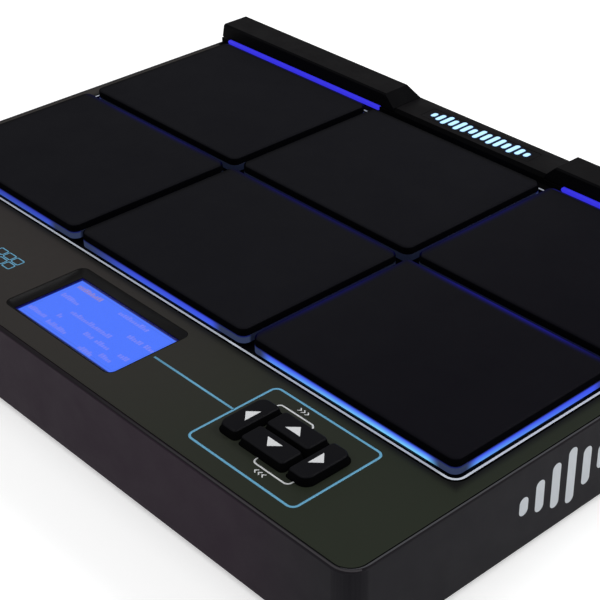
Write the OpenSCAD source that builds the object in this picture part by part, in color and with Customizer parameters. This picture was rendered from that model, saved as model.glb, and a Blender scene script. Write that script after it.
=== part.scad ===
// Electronic percussion pad: six lit striking pads, two trigger bars, a display,
// four cursor keys, and connectors and level dials on the back wall.
// Millimetres, +Z up, +Y towards the back. The origin is on the floor under the middle of the part.

/* [Pads] */
// Width of one striking pad
pad_w = 107.2; // [102:0.1:116]
// Depth of one striking pad
pad_d = 85.6; // [78:0.1:96]
// Gap between neighbouring pads
pad_gap = 4.8; // [4:0.1:7]
// Radius of a pad's upright corners
pad_corner_r = 3.6; // [3:0.1:8]
// Height of a pad's top face above the control panel
pad_proud = 6; // [5.2:0.1:8]
// Thickness of the rubber
rubber_t = 3.8; // [3:0.1:4.4]
// Bevel round the rubber's top edge
rubber_bevel = 1.2; // [0.4:0.1:2]
// Height of the light guide under the rubber
guide_h = 3.3; // [2.6:0.1:3.8]
// Thickness of the guide's floor, which carries the rubber
guide_floor_t = 2; // [1.5:0.1:2.4]
// Width of the guide's lit rim
guide_rim_w = 5; // [4:0.1:8]
// Travel of a struck pad
pad_travel = 0.8; // [0.4:0.1:1]
// Diameter of the snap posts that hold a pad
post_d = 6; // [4:0.1:8]

/* [Case] */
// Height from the case's lower edge to the top of the control panel
case_h = 37; // [34:0.1:44]
// Wall thickness of the top cover
wall = 2.6; // [2:0.1:3.2]
// Radius of the case's upright corners
corner_r = 9; // [6:0.1:14]
// Bevel along the case's front top edge
front_chamfer = 1.2; // [0.7:0.1:2]
// Bevel along the case's side top edges
side_chamfer = 0.5; // [0.3:0.1:0.7]
// Flat left on top of the front rim
rim_flat = 0.15; // [0.1:0.05:0.6]
// Flat left on top of the side rims
side_flat = 0.75; // [0.1:0.05:1.2]
// Groove between the rim and the control panel
panel_groove = 0.35; // [0.2:0.05:0.8]
// Thickness of the deck under the control panel
deck_t = 2.5; // [2:0.1:3]
// Thickness of the control panel
panel_t = 1.5; // [1:0.1:2]
// Strip of control panel beside the bay
side_strip = 8.3; // [7:0.1:14]
// Strip of control panel between the bay and the ridge
rear_strip = 4.35; // [3:0.05:8]
// Depth of the control strip in front of the bay
control_d = 57.7; // [54:0.1:70]
// Moat between the pads and the trim
moat = 2.55; // [2:0.05:4]
// Width of the bay's trim line
trim_w = 1.1; // [0.8:0.1:2]
// Height of the trim above the control panel
trim_proud = 0.1; // [0.05:0.05:1]
// Outer corner radius of the trim
trim_corner_r = 5.2; // [4:0.1:9]

/* [Ridge] */
// Depth of the back ridge
ridge_d = 22; // [20.5:0.1:24]
// Depth of the flat top in the ridge's middle
ridge_top_d = 19; // [18:0.1:20]
// Length of the lower middle section
centre_len = 95.8; // [80:0.1:120]
// Height of the middle section above the control panel
centre_proud = 4.5; // [4:0.1:6]
// Height of the trigger bars above the control panel
bar_proud = 10.5; // [9:0.1:13]
// Depth of a trigger bar's top face
bar_top_d = 15.5; // [13:0.1:17]
// Bevel along a trigger bar's front edge
bar_bevel = 0.8; // [0.3:0.1:1.5]
// Travel of a struck trigger bar
bar_travel = 0.5; // [0.3:0.1:0.8]
// Height of the lit strip under a trigger bar
strip_h = 2.2; // [2:0.1:3.4]
// Depth of the lit strip
strip_d = 2; // [1.5:0.1:3]
// How far the lit strip starts beyond the middle section
strip_inset = 10; // [6:0.1:16]
// Width of the lit emblem window
emblem_w = 68; // [50:0.1:72]
// Depth of the lit emblem window
emblem_d = 10; // [8:0.1:10.4]

/* [Display] */
// Width of the visible display
lcd_view_w = 65.2; // [54:0.1:76]
// Depth of the visible display
lcd_view_d = 33.8; // [28:0.1:36]
// Depth of the display window below the control panel
lcd_depth = 3.2; // [1.6:0.1:3.4]
// Width of the sloped frame round the display
lcd_border = 2.75; // [2:0.05:4]
// Corner radius of the recess round the display
lcd_corner_r = 3.2; // [1:0.1:6]
// Height of the display module
lcd_module_h = 5.5; // [5:0.1:8]

/* [Keys] */
// Width of the left and right keys
key_side_w = 10.6; // [8:0.1:12]
// Length of the left and right keys
key_len = 23.2; // [18:0.1:26]
// Width of the up and down keys
key_mid_w = 23.4; // [18:0.1:25]
// Gap between side and middle keys
key_gap = 1.6; // [1.5:0.1:4]
// Gap between the up and down keys
key_split = 0.9; // [0.7:0.1:2]
// Height of a key above the control panel
key_proud = 3.5; // [1.8:0.1:4]
// Travel of a key
key_travel = 1; // [0.5:0.1:1.1]

/* [Back wall] */
// Bore of the large jack sockets
jack_bore_d = 6.4; // [6.35:0.05:6.6]
// Length of the large jack sockets' bore
jack_bore_l = 28; // [24:0.5:32]
// Spacing of the large jack sockets
jack_pitch = 20; // [18:0.5:22]
// Bore of the small jack socket
aux_bore_d = 3.6; // [3.5:0.05:3.8]
// Length of the small jack socket's bore
aux_bore_l = 15; // [13:0.5:18]
// Diameter of a level dial
dial_d = 14; // [11:0.1:17]
// Height of a level dial
dial_h = 11; // [8:0.1:16]
// Diameter of a dial's shaft
shaft_d = 6; // [4:0.1:7]
// Travel of the power button
power_travel = 2; // [1:0.1:2.5]

/* [Base] */
// Height of the rubber feet below the case's lower edge
foot_h = 3.2; // [2:0.1:6]
// Diameter of a rubber foot
foot_d = 20; // [14:0.5:26]
// Thickness of the bottom cover
base_t = 2.6; // [2.2:0.1:3.4]
// Spacing of the stand inserts, left to right
insert_pitch_x = 75; // [50:1:100]
// Spacing of the stand inserts, front to back
insert_pitch_y = 75; // [50:1:90]
// Thread bore of a stand insert
insert_bore_d = 4.2; // [3.3:0.1:5]
// Length of a stand insert
insert_len = 9; // [6:0.5:12]

/* [Fit] */
// Clearance round a moving key or button
fit = 0.35; // [0.3:0.05:0.5]
// Clearance between fixed pieces
slip = 0.2; // [0.1:0.05:0.3]

/* [Hidden] */
$fn = 48;
hull_fn = 32;
skin = 0.01;
over = 1; // how far a cut runs past a face

// Heights
base_z = foot_h;
panel_z = base_z + case_h;
deck_z = panel_z - panel_t;
deck_under = deck_z - deck_t;
pad_top = panel_z + pad_proud;
rubber_z = pad_top - rubber_t;
guide_z = rubber_z - guide_h;
centre_z = panel_z + centre_proud;
seat_z = panel_z + strip_h;
seat_under = seat_z - wall;
bar_spare = 0.3;
bar_z = seat_z + bar_travel + bar_spare;
bar_top = panel_z + bar_proud;
cover_step = 0.6; // the bottom cover sits this far inside the case's lower edge
cover_z = base_z + cover_step;
floor_z = cover_z + base_t;

// Plan: pads, trim, panel, body
pitch_x = pad_w + pad_gap;
pitch_y = pad_d + pad_gap;
pads_w = 3 * pad_w + 2 * pad_gap;
pads_d = 2 * pad_d + pad_gap;
trim_in_w = pads_w + 2 * moat;
trim_in_d = pads_d + 2 * moat;
trim_out_w = trim_in_w + 2 * trim_w;
trim_out_d = trim_in_d + 2 * trim_w;
trim_ledge = 0.25; // the deck's edge shows this far inside the trim
bay_w = trim_in_w - 2 * trim_ledge;
bay_d = trim_in_d - 2 * trim_ledge;
rim_side = side_chamfer + side_flat + panel_groove;
rim_front = front_chamfer + rim_flat + panel_groove;
body_w = trim_out_w + 2 * side_strip + 2 * rim_side;
body_d = rim_front + control_d + trim_out_d + rear_strip + ridge_d;
dial_gap = 1.4; // from the back wall to a dial
total_d = body_d + dial_gap + dial_h;
y_front = -total_d / 2;
y_back = y_front + body_d;
body_y = (y_front + y_back) / 2;
bay_y = y_front + rim_front + control_d + trim_out_d / 2;
ridge_y = y_back - ridge_d;
wall_y = y_back - wall; // inner face of the back wall

// Pads: column and row of each one, by name
pads = [for (row = [["front", -0.5], ["rear", 0.5]], col = [["left", -1], ["centre", 0], ["right", 1]])
    [str(row[0], "_", col[0]), col[1] * pitch_x, bay_y + row[1] * pitch_y]];
post_inset = guide_rim_w + post_d / 2 + 6; // from a pad's edge to its snap post
post_x = pad_w / 2 - post_inset;
post_y = pad_d / 2 - post_inset;
post_clear = 0.4;
snap_h = 1.5;
snap_lip = 1; // a snap head is this much wider than its post, all round
snap_gap = 0.1;
led_t = 1;
led_w = 2.5;
led_end = 15; // a light board stops this far from a pad's corner

// Sensor plate
plate_t = 1.6;
plate_flange = 6;
plate_w = bay_w + 2 * plate_flange;
plate_d = bay_d + 2 * plate_flange;
plate_z = deck_under - plate_t;
plate_screw_x = bay_w / 2 + plate_flange / 2;
plate_screw_y = bay_d / 2 + plate_flange / 2;
plate_screws_at = [for (sx = [-1, 1], k = [-1, 0, 1]) [sx * plate_screw_x, bay_y + k * pitch_y * 0.9],
    for (sy = [-1, 1], k = [-1, 1]) [k * pitch_x, bay_y + sy * plate_screw_y]];
piezo_t = 0.6;
piezo_d = 27;
bar_piezo_d = 9;

// Screws
screw_d = 2.5;
screw_hole_d = 3.2;
screw_head_d = 5.6;
screw_head_h = 1.6;

// Ridge and trigger bars
slope_run = (ridge_top_d - bar_top_d) / (bar_proud - centre_proud); // run of the back slope per millimetre of height
function slope_y(z) = ridge_y + ridge_top_d + (centre_z - z) * slope_run;
knee_z = centre_z - (ridge_d - ridge_top_d) / slope_run;
bar_x0 = centre_len / 2 + bar_spare;
bar_x1 = body_w / 2 - 0.6;
bar_end_run = 1.6;
strip_x0 = centre_len / 2 + strip_inset;
strip_x1 = body_w / 2 - 5;
rebate_d = strip_d + led_t;
hollow_y0 = ridge_y + rebate_d + wall; // the space under the bars' seat
hollow_y1 = ridge_y + ridge_top_d - wall;
bar_mid_y = (hollow_y0 + hollow_y1) / 2;
bar_post_d = 4.6;
bar_post_end = 14;
bar_posts = [bar_x0 + bar_post_end, bar_x1 - bar_post_end];
bar_foam_x0 = bar_posts[0] + 8;
bar_foam_x1 = bar_posts[1] - 8;
bar_foam_d = 8;
bar_pocket_h = 2.4;
emblem_flange = 1.6;
emblem_flange_t = 1.2;
emblem_y = ridge_y + ridge_top_d / 2;

// Control strip
control_shift = 1.7; // the display sits this far behind the strip's middle
control_y = y_front + rim_front + control_d / 2 + control_shift;
display_x = -0.4;
bezel_lip = 0.25;
bezel_w = lcd_view_w + 2 * (lcd_border + bezel_lip);
bezel_d = lcd_view_d + 2 * (lcd_border + bezel_lip);
window_z = panel_z - lcd_depth;
window_t = window_z - deck_under;
window_margin = 1.5;
bezel_land = 0.3;
module_margin = 5;
module_w = lcd_view_w + 2 * module_margin;
module_d = lcd_view_d + 2 * module_margin;
board_t = 1.6;
board_top = deck_under - lcd_module_h;
keys_shift = [0.6, -0.5]; // of the keys from the right column of pads and from the display's middle
keys_x = pitch_x + keys_shift[0];
keys_y = control_y + keys_shift[1];
key_d = (key_len - key_split) / 2;
cluster_w = 2 * key_side_w + 2 * key_gap + key_mid_w;
side_key_x = (key_mid_w + key_side_w) / 2 + key_gap;
mid_key_y = (key_d + key_split) / 2;
key_lip = 0.6;
key_lip_t = 0.8;
key_lip_z = deck_under - 0.1 - key_lip_t;
key_draft = 0.8;
key_corner_r = 1.6;
key_outer_r = 4; // corner radius on the outer side of the left and right keys
// each key: name, place, width, depth, the direction in which its retaining lip stands out, and its outer side
keys = [["left", keys_x - side_key_x, keys_y, key_side_w, key_len, [0, 1], -1],
    ["right", keys_x + side_key_x, keys_y, key_side_w, key_len, [0, 1], 1],
    ["up", keys_x, keys_y + mid_key_y, key_mid_w, key_d, [1, 0], 0],
    ["down", keys_x, keys_y - mid_key_y, key_mid_w, key_d, [1, 0], 0]];
switch_w = 6;
switch_h = 3;
stem_d = 3;
stem_in = 0.5; // how far a key's stem stands in its switch
switch_bore_d = 3.6;
switch_bore_l = stem_in + key_travel + 0.3;
board_boss_in = 5;
board_boss_d = 6;
board_x0 = -module_w / 2 - 9;
board_x1 = keys_x + cluster_w / 2 + 10;
board_w = board_x1 - board_x0;
board_x = (board_x0 + board_x1) / 2;
board_d = module_d + 4;
board_bosses = [for (sx = [-1, 1], sy = [-1, 1])
    [board_x + sx * (board_w / 2 - board_boss_in), control_y + sy * (board_d / 2 - board_boss_in)]];

// Main board and back wall connectors
standoff_h = 3.6;
main_z = floor_z + standoff_h;
main_top = main_z + board_t;
main_end = 21.15; // from the case's side to the main board's end
main_w = body_w - 2 * main_end;
main_d = 72;
main_gap = 1;
main_y = wall_y - main_gap - main_d / 2;
standoff_d = 7;
standoff_in = 6; // from the main board's edge to a standoff
standoff_back = 38; // from the main board's back edge to the back standoffs, clear of the sockets
standoff_rows = [main_y - main_d / 2 + standoff_in, main_y + main_d / 2 - standoff_back];
standoffs = [for (sx = [-1, 0, 1], y = standoff_rows) [sx * (main_w / 2 - standoff_in), y]];
axis_z = main_top + 8.5; // height of the round connectors' axes
jack_end = 29.15; // from the case's left side to the first jack
jack_x0 = jack_end - body_w / 2;
jack_count = 5;
jacks = [for (i = [0 : jack_count - 1]) jack_x0 + i * jack_pitch];
jack_body_w = 15;
jack_body_h = 15;
jack_nose_d = 9.2;
jack_nose_out = 2.6;
nut_d = 13;
nut_t = 2;
aux_step = 17; // from the last large jack to the small one
aux_x = jacks[jack_count - 1] + aux_step;
aux_w = 10;
aux_h = 13;
aux_nose_d = 6;
aux_nose_out = 0.8;
dial_step = 26; // between the two dials
dials_x = -1;
phones_x = dials_x - dial_step / 2;
main_x = dials_x + dial_step / 2;
pot_w = 16;
pot_body_d = 9;
pot_nose_d = 9;
pot_nose_out = 1;
shaft_clear = 0.05;
shaft_in = 7; // how far a shaft reaches inside the back wall
power_end = 32.15; // from the case's right side to the power button
power_x = body_w / 2 - power_end;
dc_step = 19; // from the power button to the power inlet, and on along the wall
usb_step = 19;
midi_step = 22;
card_step = 29;
dc_x = power_x - dc_step;
usb_x = dc_x - usb_step;
midi_x = usb_x - midi_step;
card_x = midi_x - card_step;
card_w = 28;
card_h = 3.8;
card_slot_w = 24.6;
card_slot_h = 2.6;
card_l = 26;
midi_d = 15.2;
midi_w = 20;
midi_l = 13;
midi_deep = 8;
midi_core_d = 11.4;
midi_ring_d = 13.6;
midi_pin_r = 3.6;
midi_pin_d = 1.7;
usb_w = 12;
usb_h = 11.2;
usb_l = 16;
usb_mouth_w = 8.6;
usb_mouth_h = 7.9;
usb_tongue_w = 5.6;
usb_tongue_h = 3.2;
usb_deep = 10;
dc_w = 10;
dc_h = 14;
dc_nose_d = 8.4;
dc_bore_d = 6.4;
dc_pin_d = 2;
dc_l = 14;
dc_deep = 10;
power_w = 10;
power_h = 6.5;
power_out = 4.5;
power_lip = 1.2;
power_gap = 0.1;
plunger_d = 3;
plunger_in = 0.6;
power_switch_w = 13;
power_switch_l = 12;
power_switch_y = wall_y - power_gap - power_lip - power_travel - 0.4; // front face of the switch
plunger_bore_d = plunger_d + 2 * fit;
plunger_bore_l = plunger_in + power_travel + 0.4;

// Lead between the boards
lead_x = 60;
lead_w = 20;
lead_t = 1;
header_w = 24;
header_d = 6;
header_h = 6;
lead_z = main_top + header_h + 2;
lead_y0 = control_y + 8;
lead_y1 = main_y - main_d / 2 + 8;

// Base
boss_d = 8.4;
boss_in = 3.4; // from the wall's inner face to a boss's axis
boss_h = 18;
boss_x = body_w / 2 - wall - boss_in;
boss_y0 = y_front + wall + boss_in;
case_bosses = [for (sx = [-1, 1]) each [[sx * boss_x, y_front + corner_r + 8], [sx * boss_x, bay_y],
    [sx * boss_x, ridge_y - 16], [sx * pitch_x / 2, boss_y0]]];
case_head_d = 6;
case_screw_l = 9;
foot_in = 26;
foot_seat = 1;
foot_taper = 0.8;
feet = [for (sx = [-1, 1], sy = [-1, 1]) [sx * (body_w / 2 - foot_in), body_y + sy * (body_d / 2 - foot_in)]];
insert_d = 7;
insert_wall = 2.5;
inserts = [for (sx = [-1, 1], sy = [-1, 1]) [sx * insert_pitch_x / 2, sy * insert_pitch_y / 2]];

// Rounded rectangle, centred
module rounded(w, d, r) {
    square([w - 2 * r, d], center = true);
    square([w, d - 2 * r], center = true);
    for (sx = [-1, 1], sy = [-1, 1]) translate([sx * (w / 2 - r), sy * (d / 2 - r)]) circle(r);
}

// Plate with rounded corners, centred in plan, standing on z = 0
module slab(w, d, h, r) linear_extrude(h) rounded(w, d, r);

// Block centred in plan, standing on z = 0
module block(w, d, h) translate([-w / 2, -d / 2, 0]) cube([w, d, h]);

// The body's plan, drawn in by inset
module body_slab(z, h, inset) translate([0, body_y, z])
    slab(body_w - 2 * inset, body_d - 2 * inset, h, corner_r - inset);

// The body's plan, drawn in by separate amounts at the sides and at the front
module rim_slab(z, h, side_inset, front_inset) translate([0, body_y + (front_inset - side_inset) / 2, z])
    slab(body_w - 2 * side_inset, body_d - side_inset - front_inset, h, corner_r - side_inset);

// Profile in Y and Z, extruded along X and centred
module along_x(length, profile) rotate([90, 0, 90]) linear_extrude(length, center = true) polygon(profile);

// Cylinder along +Y from its start
module rod_y(d, length) rotate([-90, 0, 0]) cylinder(d = d, h = length);

// Upright screw, head down, its head's top face on z = 0
module screw(head_d, length) {
    translate([0, 0, -screw_head_h]) cylinder(d = head_d, h = screw_head_h);
    cylinder(d = screw_d, h = length);
}

// Snap post hanging from z = 0, its head just under a plate whose lower face is at depth
module snap_post(d, depth) {
    translate([0, 0, -depth - snap_gap - snap_h]) {
        cylinder(d = d, h = depth + snap_gap + snap_h);
        cylinder(d1 = d, d2 = d + 2 * snap_lip, h = snap_h);
    }
}

// Ridge along the back: the bars' seat over the whole width, and the taller middle section
module ridge() {
    along_x(body_w, [[ridge_y, base_z], [ridge_y, seat_z], [slope_y(seat_z), seat_z], [y_back, knee_z], [y_back, base_z]]);
    along_x(centre_len, [[ridge_y, base_z], [ridge_y, centre_z], [slope_y(centre_z), centre_z], [y_back, knee_z],
        [y_back, base_z]]);
}

// A key's plan, grown all round, with rounder corners on its outer side
module key_slab(k, h, grow) {
    w = k[3] + 2 * grow;
    d = k[4] + 2 * grow;
    if (k[6] == 0) slab(w, d, h, key_corner_r + grow);
    else for (s = [-1, 1]) intersection() {
        slab(w, d, h, (s == k[6] ? key_outer_r : key_corner_r) + grow);
        translate([s * w / 2, 0, 0]) block(w, 2 * d, h);
    }
}

// Openings for the keys through panel and deck
module key_openings() {
    for (k = [keys[0], keys[1]]) translate([k[1], k[2], deck_under - over])
        key_slab(k, deck_t + panel_t + 2 * over, fit);
    translate([keys_x, keys_y, deck_under - over])
        slab(key_mid_w + 2 * fit, key_len + 2 * fit, deck_t + panel_t + 2 * over, key_corner_r + fit);
}

// Opening for the display frame through panel and deck
module display_opening() translate([display_x, control_y, deck_under - over])
    slab(bezel_w + 2 * slip, bezel_d + 2 * slip, deck_t + panel_t + 2 * over, lcd_corner_r + bezel_lip + slip);

// Cut-outs in the back wall
module wall_cuts() translate([0, wall_y - over, 0]) {
    deep = wall + 2 * over;
    for (x = jacks) translate([x, 0, axis_z]) rod_y(jack_nose_d + 2 * slip, deep);
    translate([aux_x, 0, axis_z]) rod_y(aux_nose_d + 2 * slip, deep);
    for (x = [phones_x, main_x]) translate([x, 0, axis_z]) rod_y(pot_nose_d + 2 * slip, deep);
    translate([midi_x, 0, axis_z]) rod_y(midi_d + 2 * slip, deep);
    translate([dc_x, 0, axis_z]) rod_y(dc_nose_d + 2 * slip, deep);
    translate([usb_x, deep / 2, main_top - slip]) block(usb_w + 2 * slip, deep, usb_h + 2 * slip);
    translate([card_x, deep / 2, main_top - slip]) block(card_w + 2 * slip, deep, card_h + 2 * slip);
    translate([power_x, deep / 2, axis_z - power_h / 2 - fit]) block(power_w + 2 * fit, deep, power_h + 2 * fit);
}

module top_cover() color("#2d2a2e") difference() {
    union() {
        body_slab(base_z, case_h - front_chamfer, 0);
        hull($fn = hull_fn) {
            body_slab(panel_z - front_chamfer - skin, skin, 0);
            rim_slab(panel_z - side_chamfer - skin, skin, 0, front_chamfer - side_chamfer);
            rim_slab(panel_z - skin, skin, side_chamfer, front_chamfer);
        }
        intersection() {
            ridge();
            body_slab(base_z, case_h + bar_proud, 0);
        }
    }
    difference() {
        body_slab(base_z - over, deck_under - base_z + over, wall);
        for (b = case_bosses) translate([b[0], b[1], floor_z]) cylinder(d = boss_d, h = boss_h);
        for (b = board_bosses) translate([b[0], b[1], board_top]) cylinder(d = board_boss_d, h = lcd_module_h + over);
    }
    // recess for the control panel
    difference() {
        rim_slab(deck_z, panel_t + over, side_chamfer + side_flat, front_chamfer + rim_flat);
        translate([0, ridge_y + ridge_d, deck_z - over]) block(2 * body_w, 2 * ridge_d, panel_t + 3 * over);
    }
    translate([0, bay_y, deck_under - over]) slab(bay_w, bay_d, deck_t + 2 * over, trim_corner_r - trim_w);
    display_opening();
    key_openings();
    // hollow ridge
    translate([0, bar_mid_y, deck_under - over])
        block(body_w - 2 * wall, hollow_y1 - hollow_y0, seat_under - deck_under + over);
    translate([0, emblem_y, deck_under - over])
        block(centre_len - 2 * wall, ridge_top_d - 2 * wall, centre_z - wall - deck_under + over);
    translate([0, emblem_y, centre_z - wall - over])
        block(emblem_w + 2 * slip, emblem_d + 2 * slip, wall + 2 * over);
    for (side = [0, 1]) mirror([side, 0, 0]) {
        translate([strip_x0, ridge_y - over, panel_z]) cube([strip_x1 - strip_x0, rebate_d + over, strip_h + over]);
        for (x = bar_posts) translate([x, bar_mid_y, seat_under - over])
            cylinder(d = bar_post_d + 2 * post_clear, h = wall + 2 * over);
    }
    wall_cuts();
    for (b = case_bosses) translate([b[0], b[1], floor_z - over]) cylinder(d = screw_d, h = case_screw_l + over);
    for (b = board_bosses) translate([b[0], b[1], board_top - over]) cylinder(d = screw_d, h = lcd_module_h + over);
    for (p = plate_screws_at) translate([p[0], p[1], deck_under - over]) cylinder(d = screw_d, h = deck_t - 0.5 + over);
}

module control_panel() color("#3a3734") difference() {
    rim_slab(deck_z, panel_t, rim_side, rim_front);
    translate([0, ridge_y - slip + ridge_d, deck_z - over]) block(2 * body_w, 2 * ridge_d, panel_t + 2 * over);
    translate([0, bay_y, deck_z - over])
        slab(trim_out_w + 2 * slip, trim_out_d + 2 * slip, panel_t + 2 * over, trim_corner_r + slip);
    display_opening();
    key_openings();
}

module bay_trim() color("#c8ccd4") translate([0, bay_y, deck_z]) difference() {
    slab(trim_out_w, trim_out_d, panel_t + trim_proud, trim_corner_r);
    translate([0, 0, -over]) slab(trim_in_w, trim_in_d, panel_t + trim_proud + 2 * over, trim_corner_r - trim_w);
}

module bottom_cover() color("#1d1c1e") difference() {
    union() {
        body_slab(cover_z, base_t, wall + slip);
        for (s = standoffs) translate([s[0], s[1], cover_z]) cylinder(d = standoff_d, h = main_z - cover_z);
        for (p = inserts) translate([p[0], p[1], cover_z])
            cylinder(d = insert_d + 2 * insert_wall, h = insert_len + insert_wall);
    }
    for (p = inserts) translate([p[0], p[1], cover_z - over]) cylinder(d = insert_d, h = insert_len + over);
    for (s = standoffs) translate([s[0], s[1], floor_z]) cylinder(d = screw_d, h = standoff_h + over);
    for (b = case_bosses) translate([b[0], b[1], cover_z - over]) {
        cylinder(d = screw_hole_d, h = base_t + 2 * over);
        cylinder(d = case_head_d + 2 * slip, h = screw_head_h + over);
    }
    for (f = feet) translate([f[0], f[1], cover_z - over]) cylinder(d = foot_d, h = foot_seat + over);
}

module rubber_feet() color("#111112") for (f = feet) translate([f[0], f[1], 0]) {
    cylinder(d1 = foot_d - 2 * foot_taper, d2 = foot_d, h = foot_taper);
    translate([0, 0, foot_taper]) cylinder(d = foot_d, h = cover_z + foot_seat - foot_taper);
}

module case_screws() color("#3c3c40") for (b = case_bosses)
    translate([b[0], b[1], cover_z + screw_head_h]) screw(case_head_d, base_t - screw_head_h + case_screw_l);

module stand_inserts() color("#b08d4a") for (p = inserts) translate([p[0], p[1], cover_z]) difference() {
    cylinder(d = insert_d, h = insert_len);
    translate([0, 0, -over]) cylinder(d = insert_bore_d, h = insert_len + 2 * over);
}

module sensor_plate() color("#8a8d92") difference() {
    translate([0, bay_y, plate_z]) slab(plate_w, plate_d, plate_t, trim_corner_r);
    for (p = pads, sx = [-1, 1], sy = [-1, 1]) translate([p[1] + sx * post_x, p[2] + sy * post_y, plate_z - over])
        cylinder(d = post_d + 2 * post_clear, h = plate_t + 2 * over);
    for (p = plate_screws_at) translate([p[0], p[1], plate_z - over])
        cylinder(d = screw_hole_d, h = plate_t + 2 * over);
}

module plate_screws() color("#b9bcc2") for (p = plate_screws_at)
    translate([p[0], p[1], plate_z]) screw(screw_head_d, plate_t + deck_t - 0.5);

module pad_rubber(p) color("#17171a") translate([p[1], p[2], rubber_z]) hull($fn = hull_fn) {
    slab(pad_w, pad_d, rubber_t - rubber_bevel, pad_corner_r);
    translate([0, 0, rubber_t - skin])
        slab(pad_w - 2 * rubber_bevel, pad_d - 2 * rubber_bevel, skin, pad_corner_r - rubber_bevel);
}

module pad_guide(p) color("#4f6fe0") translate([p[1], p[2], guide_z]) {
    difference() {
        slab(pad_w, pad_d, guide_h, pad_corner_r);
        translate([0, 0, -over]) block(pad_w - 2 * guide_rim_w, pad_d - 2 * guide_rim_w, guide_h - guide_floor_t + over);
    }
    for (sx = [-1, 1], sy = [-1, 1]) translate([sx * post_x, sy * post_y, guide_h - guide_floor_t])
        snap_post(post_d, guide_z + guide_h - guide_floor_t - plate_z);
}

module pad_foams() color("#55565a") for (p = pads) translate([p[1], p[2], deck_under])
    block(2 * post_x - post_d - 8, pad_d - 2 * guide_rim_w - 4, guide_z + guide_h - guide_floor_t - deck_under);

module piezo_discs() color("#c9a55b") {
    for (p = pads) translate([p[1], p[2], plate_z - piezo_t]) cylinder(d = piezo_d, h = piezo_t);
    for (s = [-1, 1]) translate([s * (bar_x0 + bar_x1) / 2, bar_mid_y, seat_under - piezo_t])
        cylinder(d = bar_piezo_d, h = piezo_t);
}

module led_boards() color("#d9dde6") {
    for (p = pads, s = [-1, 1]) translate([p[1], p[2], deck_under]) {
        translate([0, s * (pad_d - guide_rim_w) / 2, 0]) block(pad_w - 2 * led_end, led_w, led_t);
        translate([s * (pad_w - guide_rim_w) / 2, 0, 0]) block(led_w, pad_d - 2 * led_end, led_t);
    }
    for (s = [-1, 1]) translate([s * (strip_x0 + strip_x1) / 2, ridge_y + strip_d + led_t / 2, panel_z])
        block(strip_x1 - strip_x0 - 2 * slip, led_t, strip_h);
    translate([0, emblem_y, centre_z - wall - emblem_flange_t - led_t]) block(emblem_w, emblem_d, led_t);
}

// One trigger bar, on the right: sloped back and sloped inner end, foam pocket, two snap posts
module trigger_bar() {
    rise = bar_top - centre_z;
    difference() {
        intersection() {
            along_x(2 * body_w, [[ridge_y, bar_z], [ridge_y, bar_top - bar_bevel], [ridge_y + bar_bevel, bar_top],
                [ridge_y + bar_top_d, bar_top], [slope_y(bar_z), bar_z]]);
            translate([0, y_back + over, 0]) rotate([90, 0, 0]) linear_extrude(ridge_d + 2 * over)
                polygon([[bar_x0, bar_z], [bar_x0, centre_z], [bar_x0 + rise, bar_top], [bar_x1 - bar_end_run, bar_top],
                    [bar_x1, bar_z]]);
            body_slab(base_z, case_h + bar_proud + over, 0);
        }
        translate([(bar_foam_x0 + bar_foam_x1) / 2, bar_mid_y, bar_z - over])
            block(bar_foam_x1 - bar_foam_x0 + 2, bar_foam_d + 1, bar_pocket_h + over);
    }
    for (x = bar_posts) translate([x, bar_mid_y, bar_z + skin]) snap_post(bar_post_d, bar_z + skin - seat_under);
}

module bar_right() color("#1c1a1d") trigger_bar();

module bar_left() color("#1c1a1d") mirror([1, 0, 0]) trigger_bar();

module bar_guides() color("#4f6fe0") for (s = [-1, 1])
    translate([s * (strip_x0 + strip_x1) / 2, ridge_y + strip_d / 2, panel_z])
        block(strip_x1 - strip_x0 - 2 * slip, strip_d, strip_h);

module bar_foams() color("#55565a") for (s = [-1, 1])
    translate([s * (bar_foam_x0 + bar_foam_x1) / 2, bar_mid_y, seat_z])
        block(bar_foam_x1 - bar_foam_x0, bar_foam_d, bar_z + bar_pocket_h - seat_z);

module emblem_lens() color("#1f2a33") translate([0, emblem_y, centre_z - wall - emblem_flange_t]) {
    block(emblem_w + 2 * emblem_flange, emblem_d + 2 * emblem_flange, emblem_flange_t);
    block(emblem_w, emblem_d, emblem_flange_t + wall);
}

module lcd_bezel() color("#0d0d0f") translate([display_x, control_y, 0]) difference() {
    translate([0, 0, deck_under]) slab(bezel_w, bezel_d, panel_z - deck_under, lcd_corner_r + bezel_lip);
    hull($fn = hull_fn) {
        translate([0, 0, panel_z]) slab(lcd_view_w + 2 * lcd_border, lcd_view_d + 2 * lcd_border, skin, lcd_corner_r);
        translate([0, 0, window_z + bezel_land]) block(lcd_view_w, lcd_view_d, skin);
    }
    translate([0, 0, window_z - over]) block(lcd_view_w, lcd_view_d, bezel_land + 2 * over);
    translate([0, 0, deck_under - over])
        block(lcd_view_w + 2 * (window_margin + slip), lcd_view_d + 2 * (window_margin + slip), window_t + over);
}

module lcd_window() color("#3a55c8") translate([display_x, control_y, deck_under])
    block(lcd_view_w + 2 * window_margin, lcd_view_d + 2 * window_margin, window_t);

module lcd_module() color("#5b7cff") translate([display_x, control_y, board_top]) block(module_w, module_d, lcd_module_h);

module control_board() color("#1f5a38") difference() {
    translate([board_x, control_y, board_top - board_t]) block(board_w, board_d, board_t);
    for (b = board_bosses) translate([b[0], b[1], board_top - board_t - over])
        cylinder(d = screw_hole_d, h = board_t + 2 * over);
}

module board_screws() color("#b9bcc2") {
    for (b = board_bosses) translate([b[0], b[1], board_top - board_t]) screw(screw_head_d, board_t + lcd_module_h - 1);
    for (s = standoffs) translate([s[0], s[1], main_top]) mirror([0, 0, 1]) screw(screw_head_d, board_t + standoff_h - 0.5);
}

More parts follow.
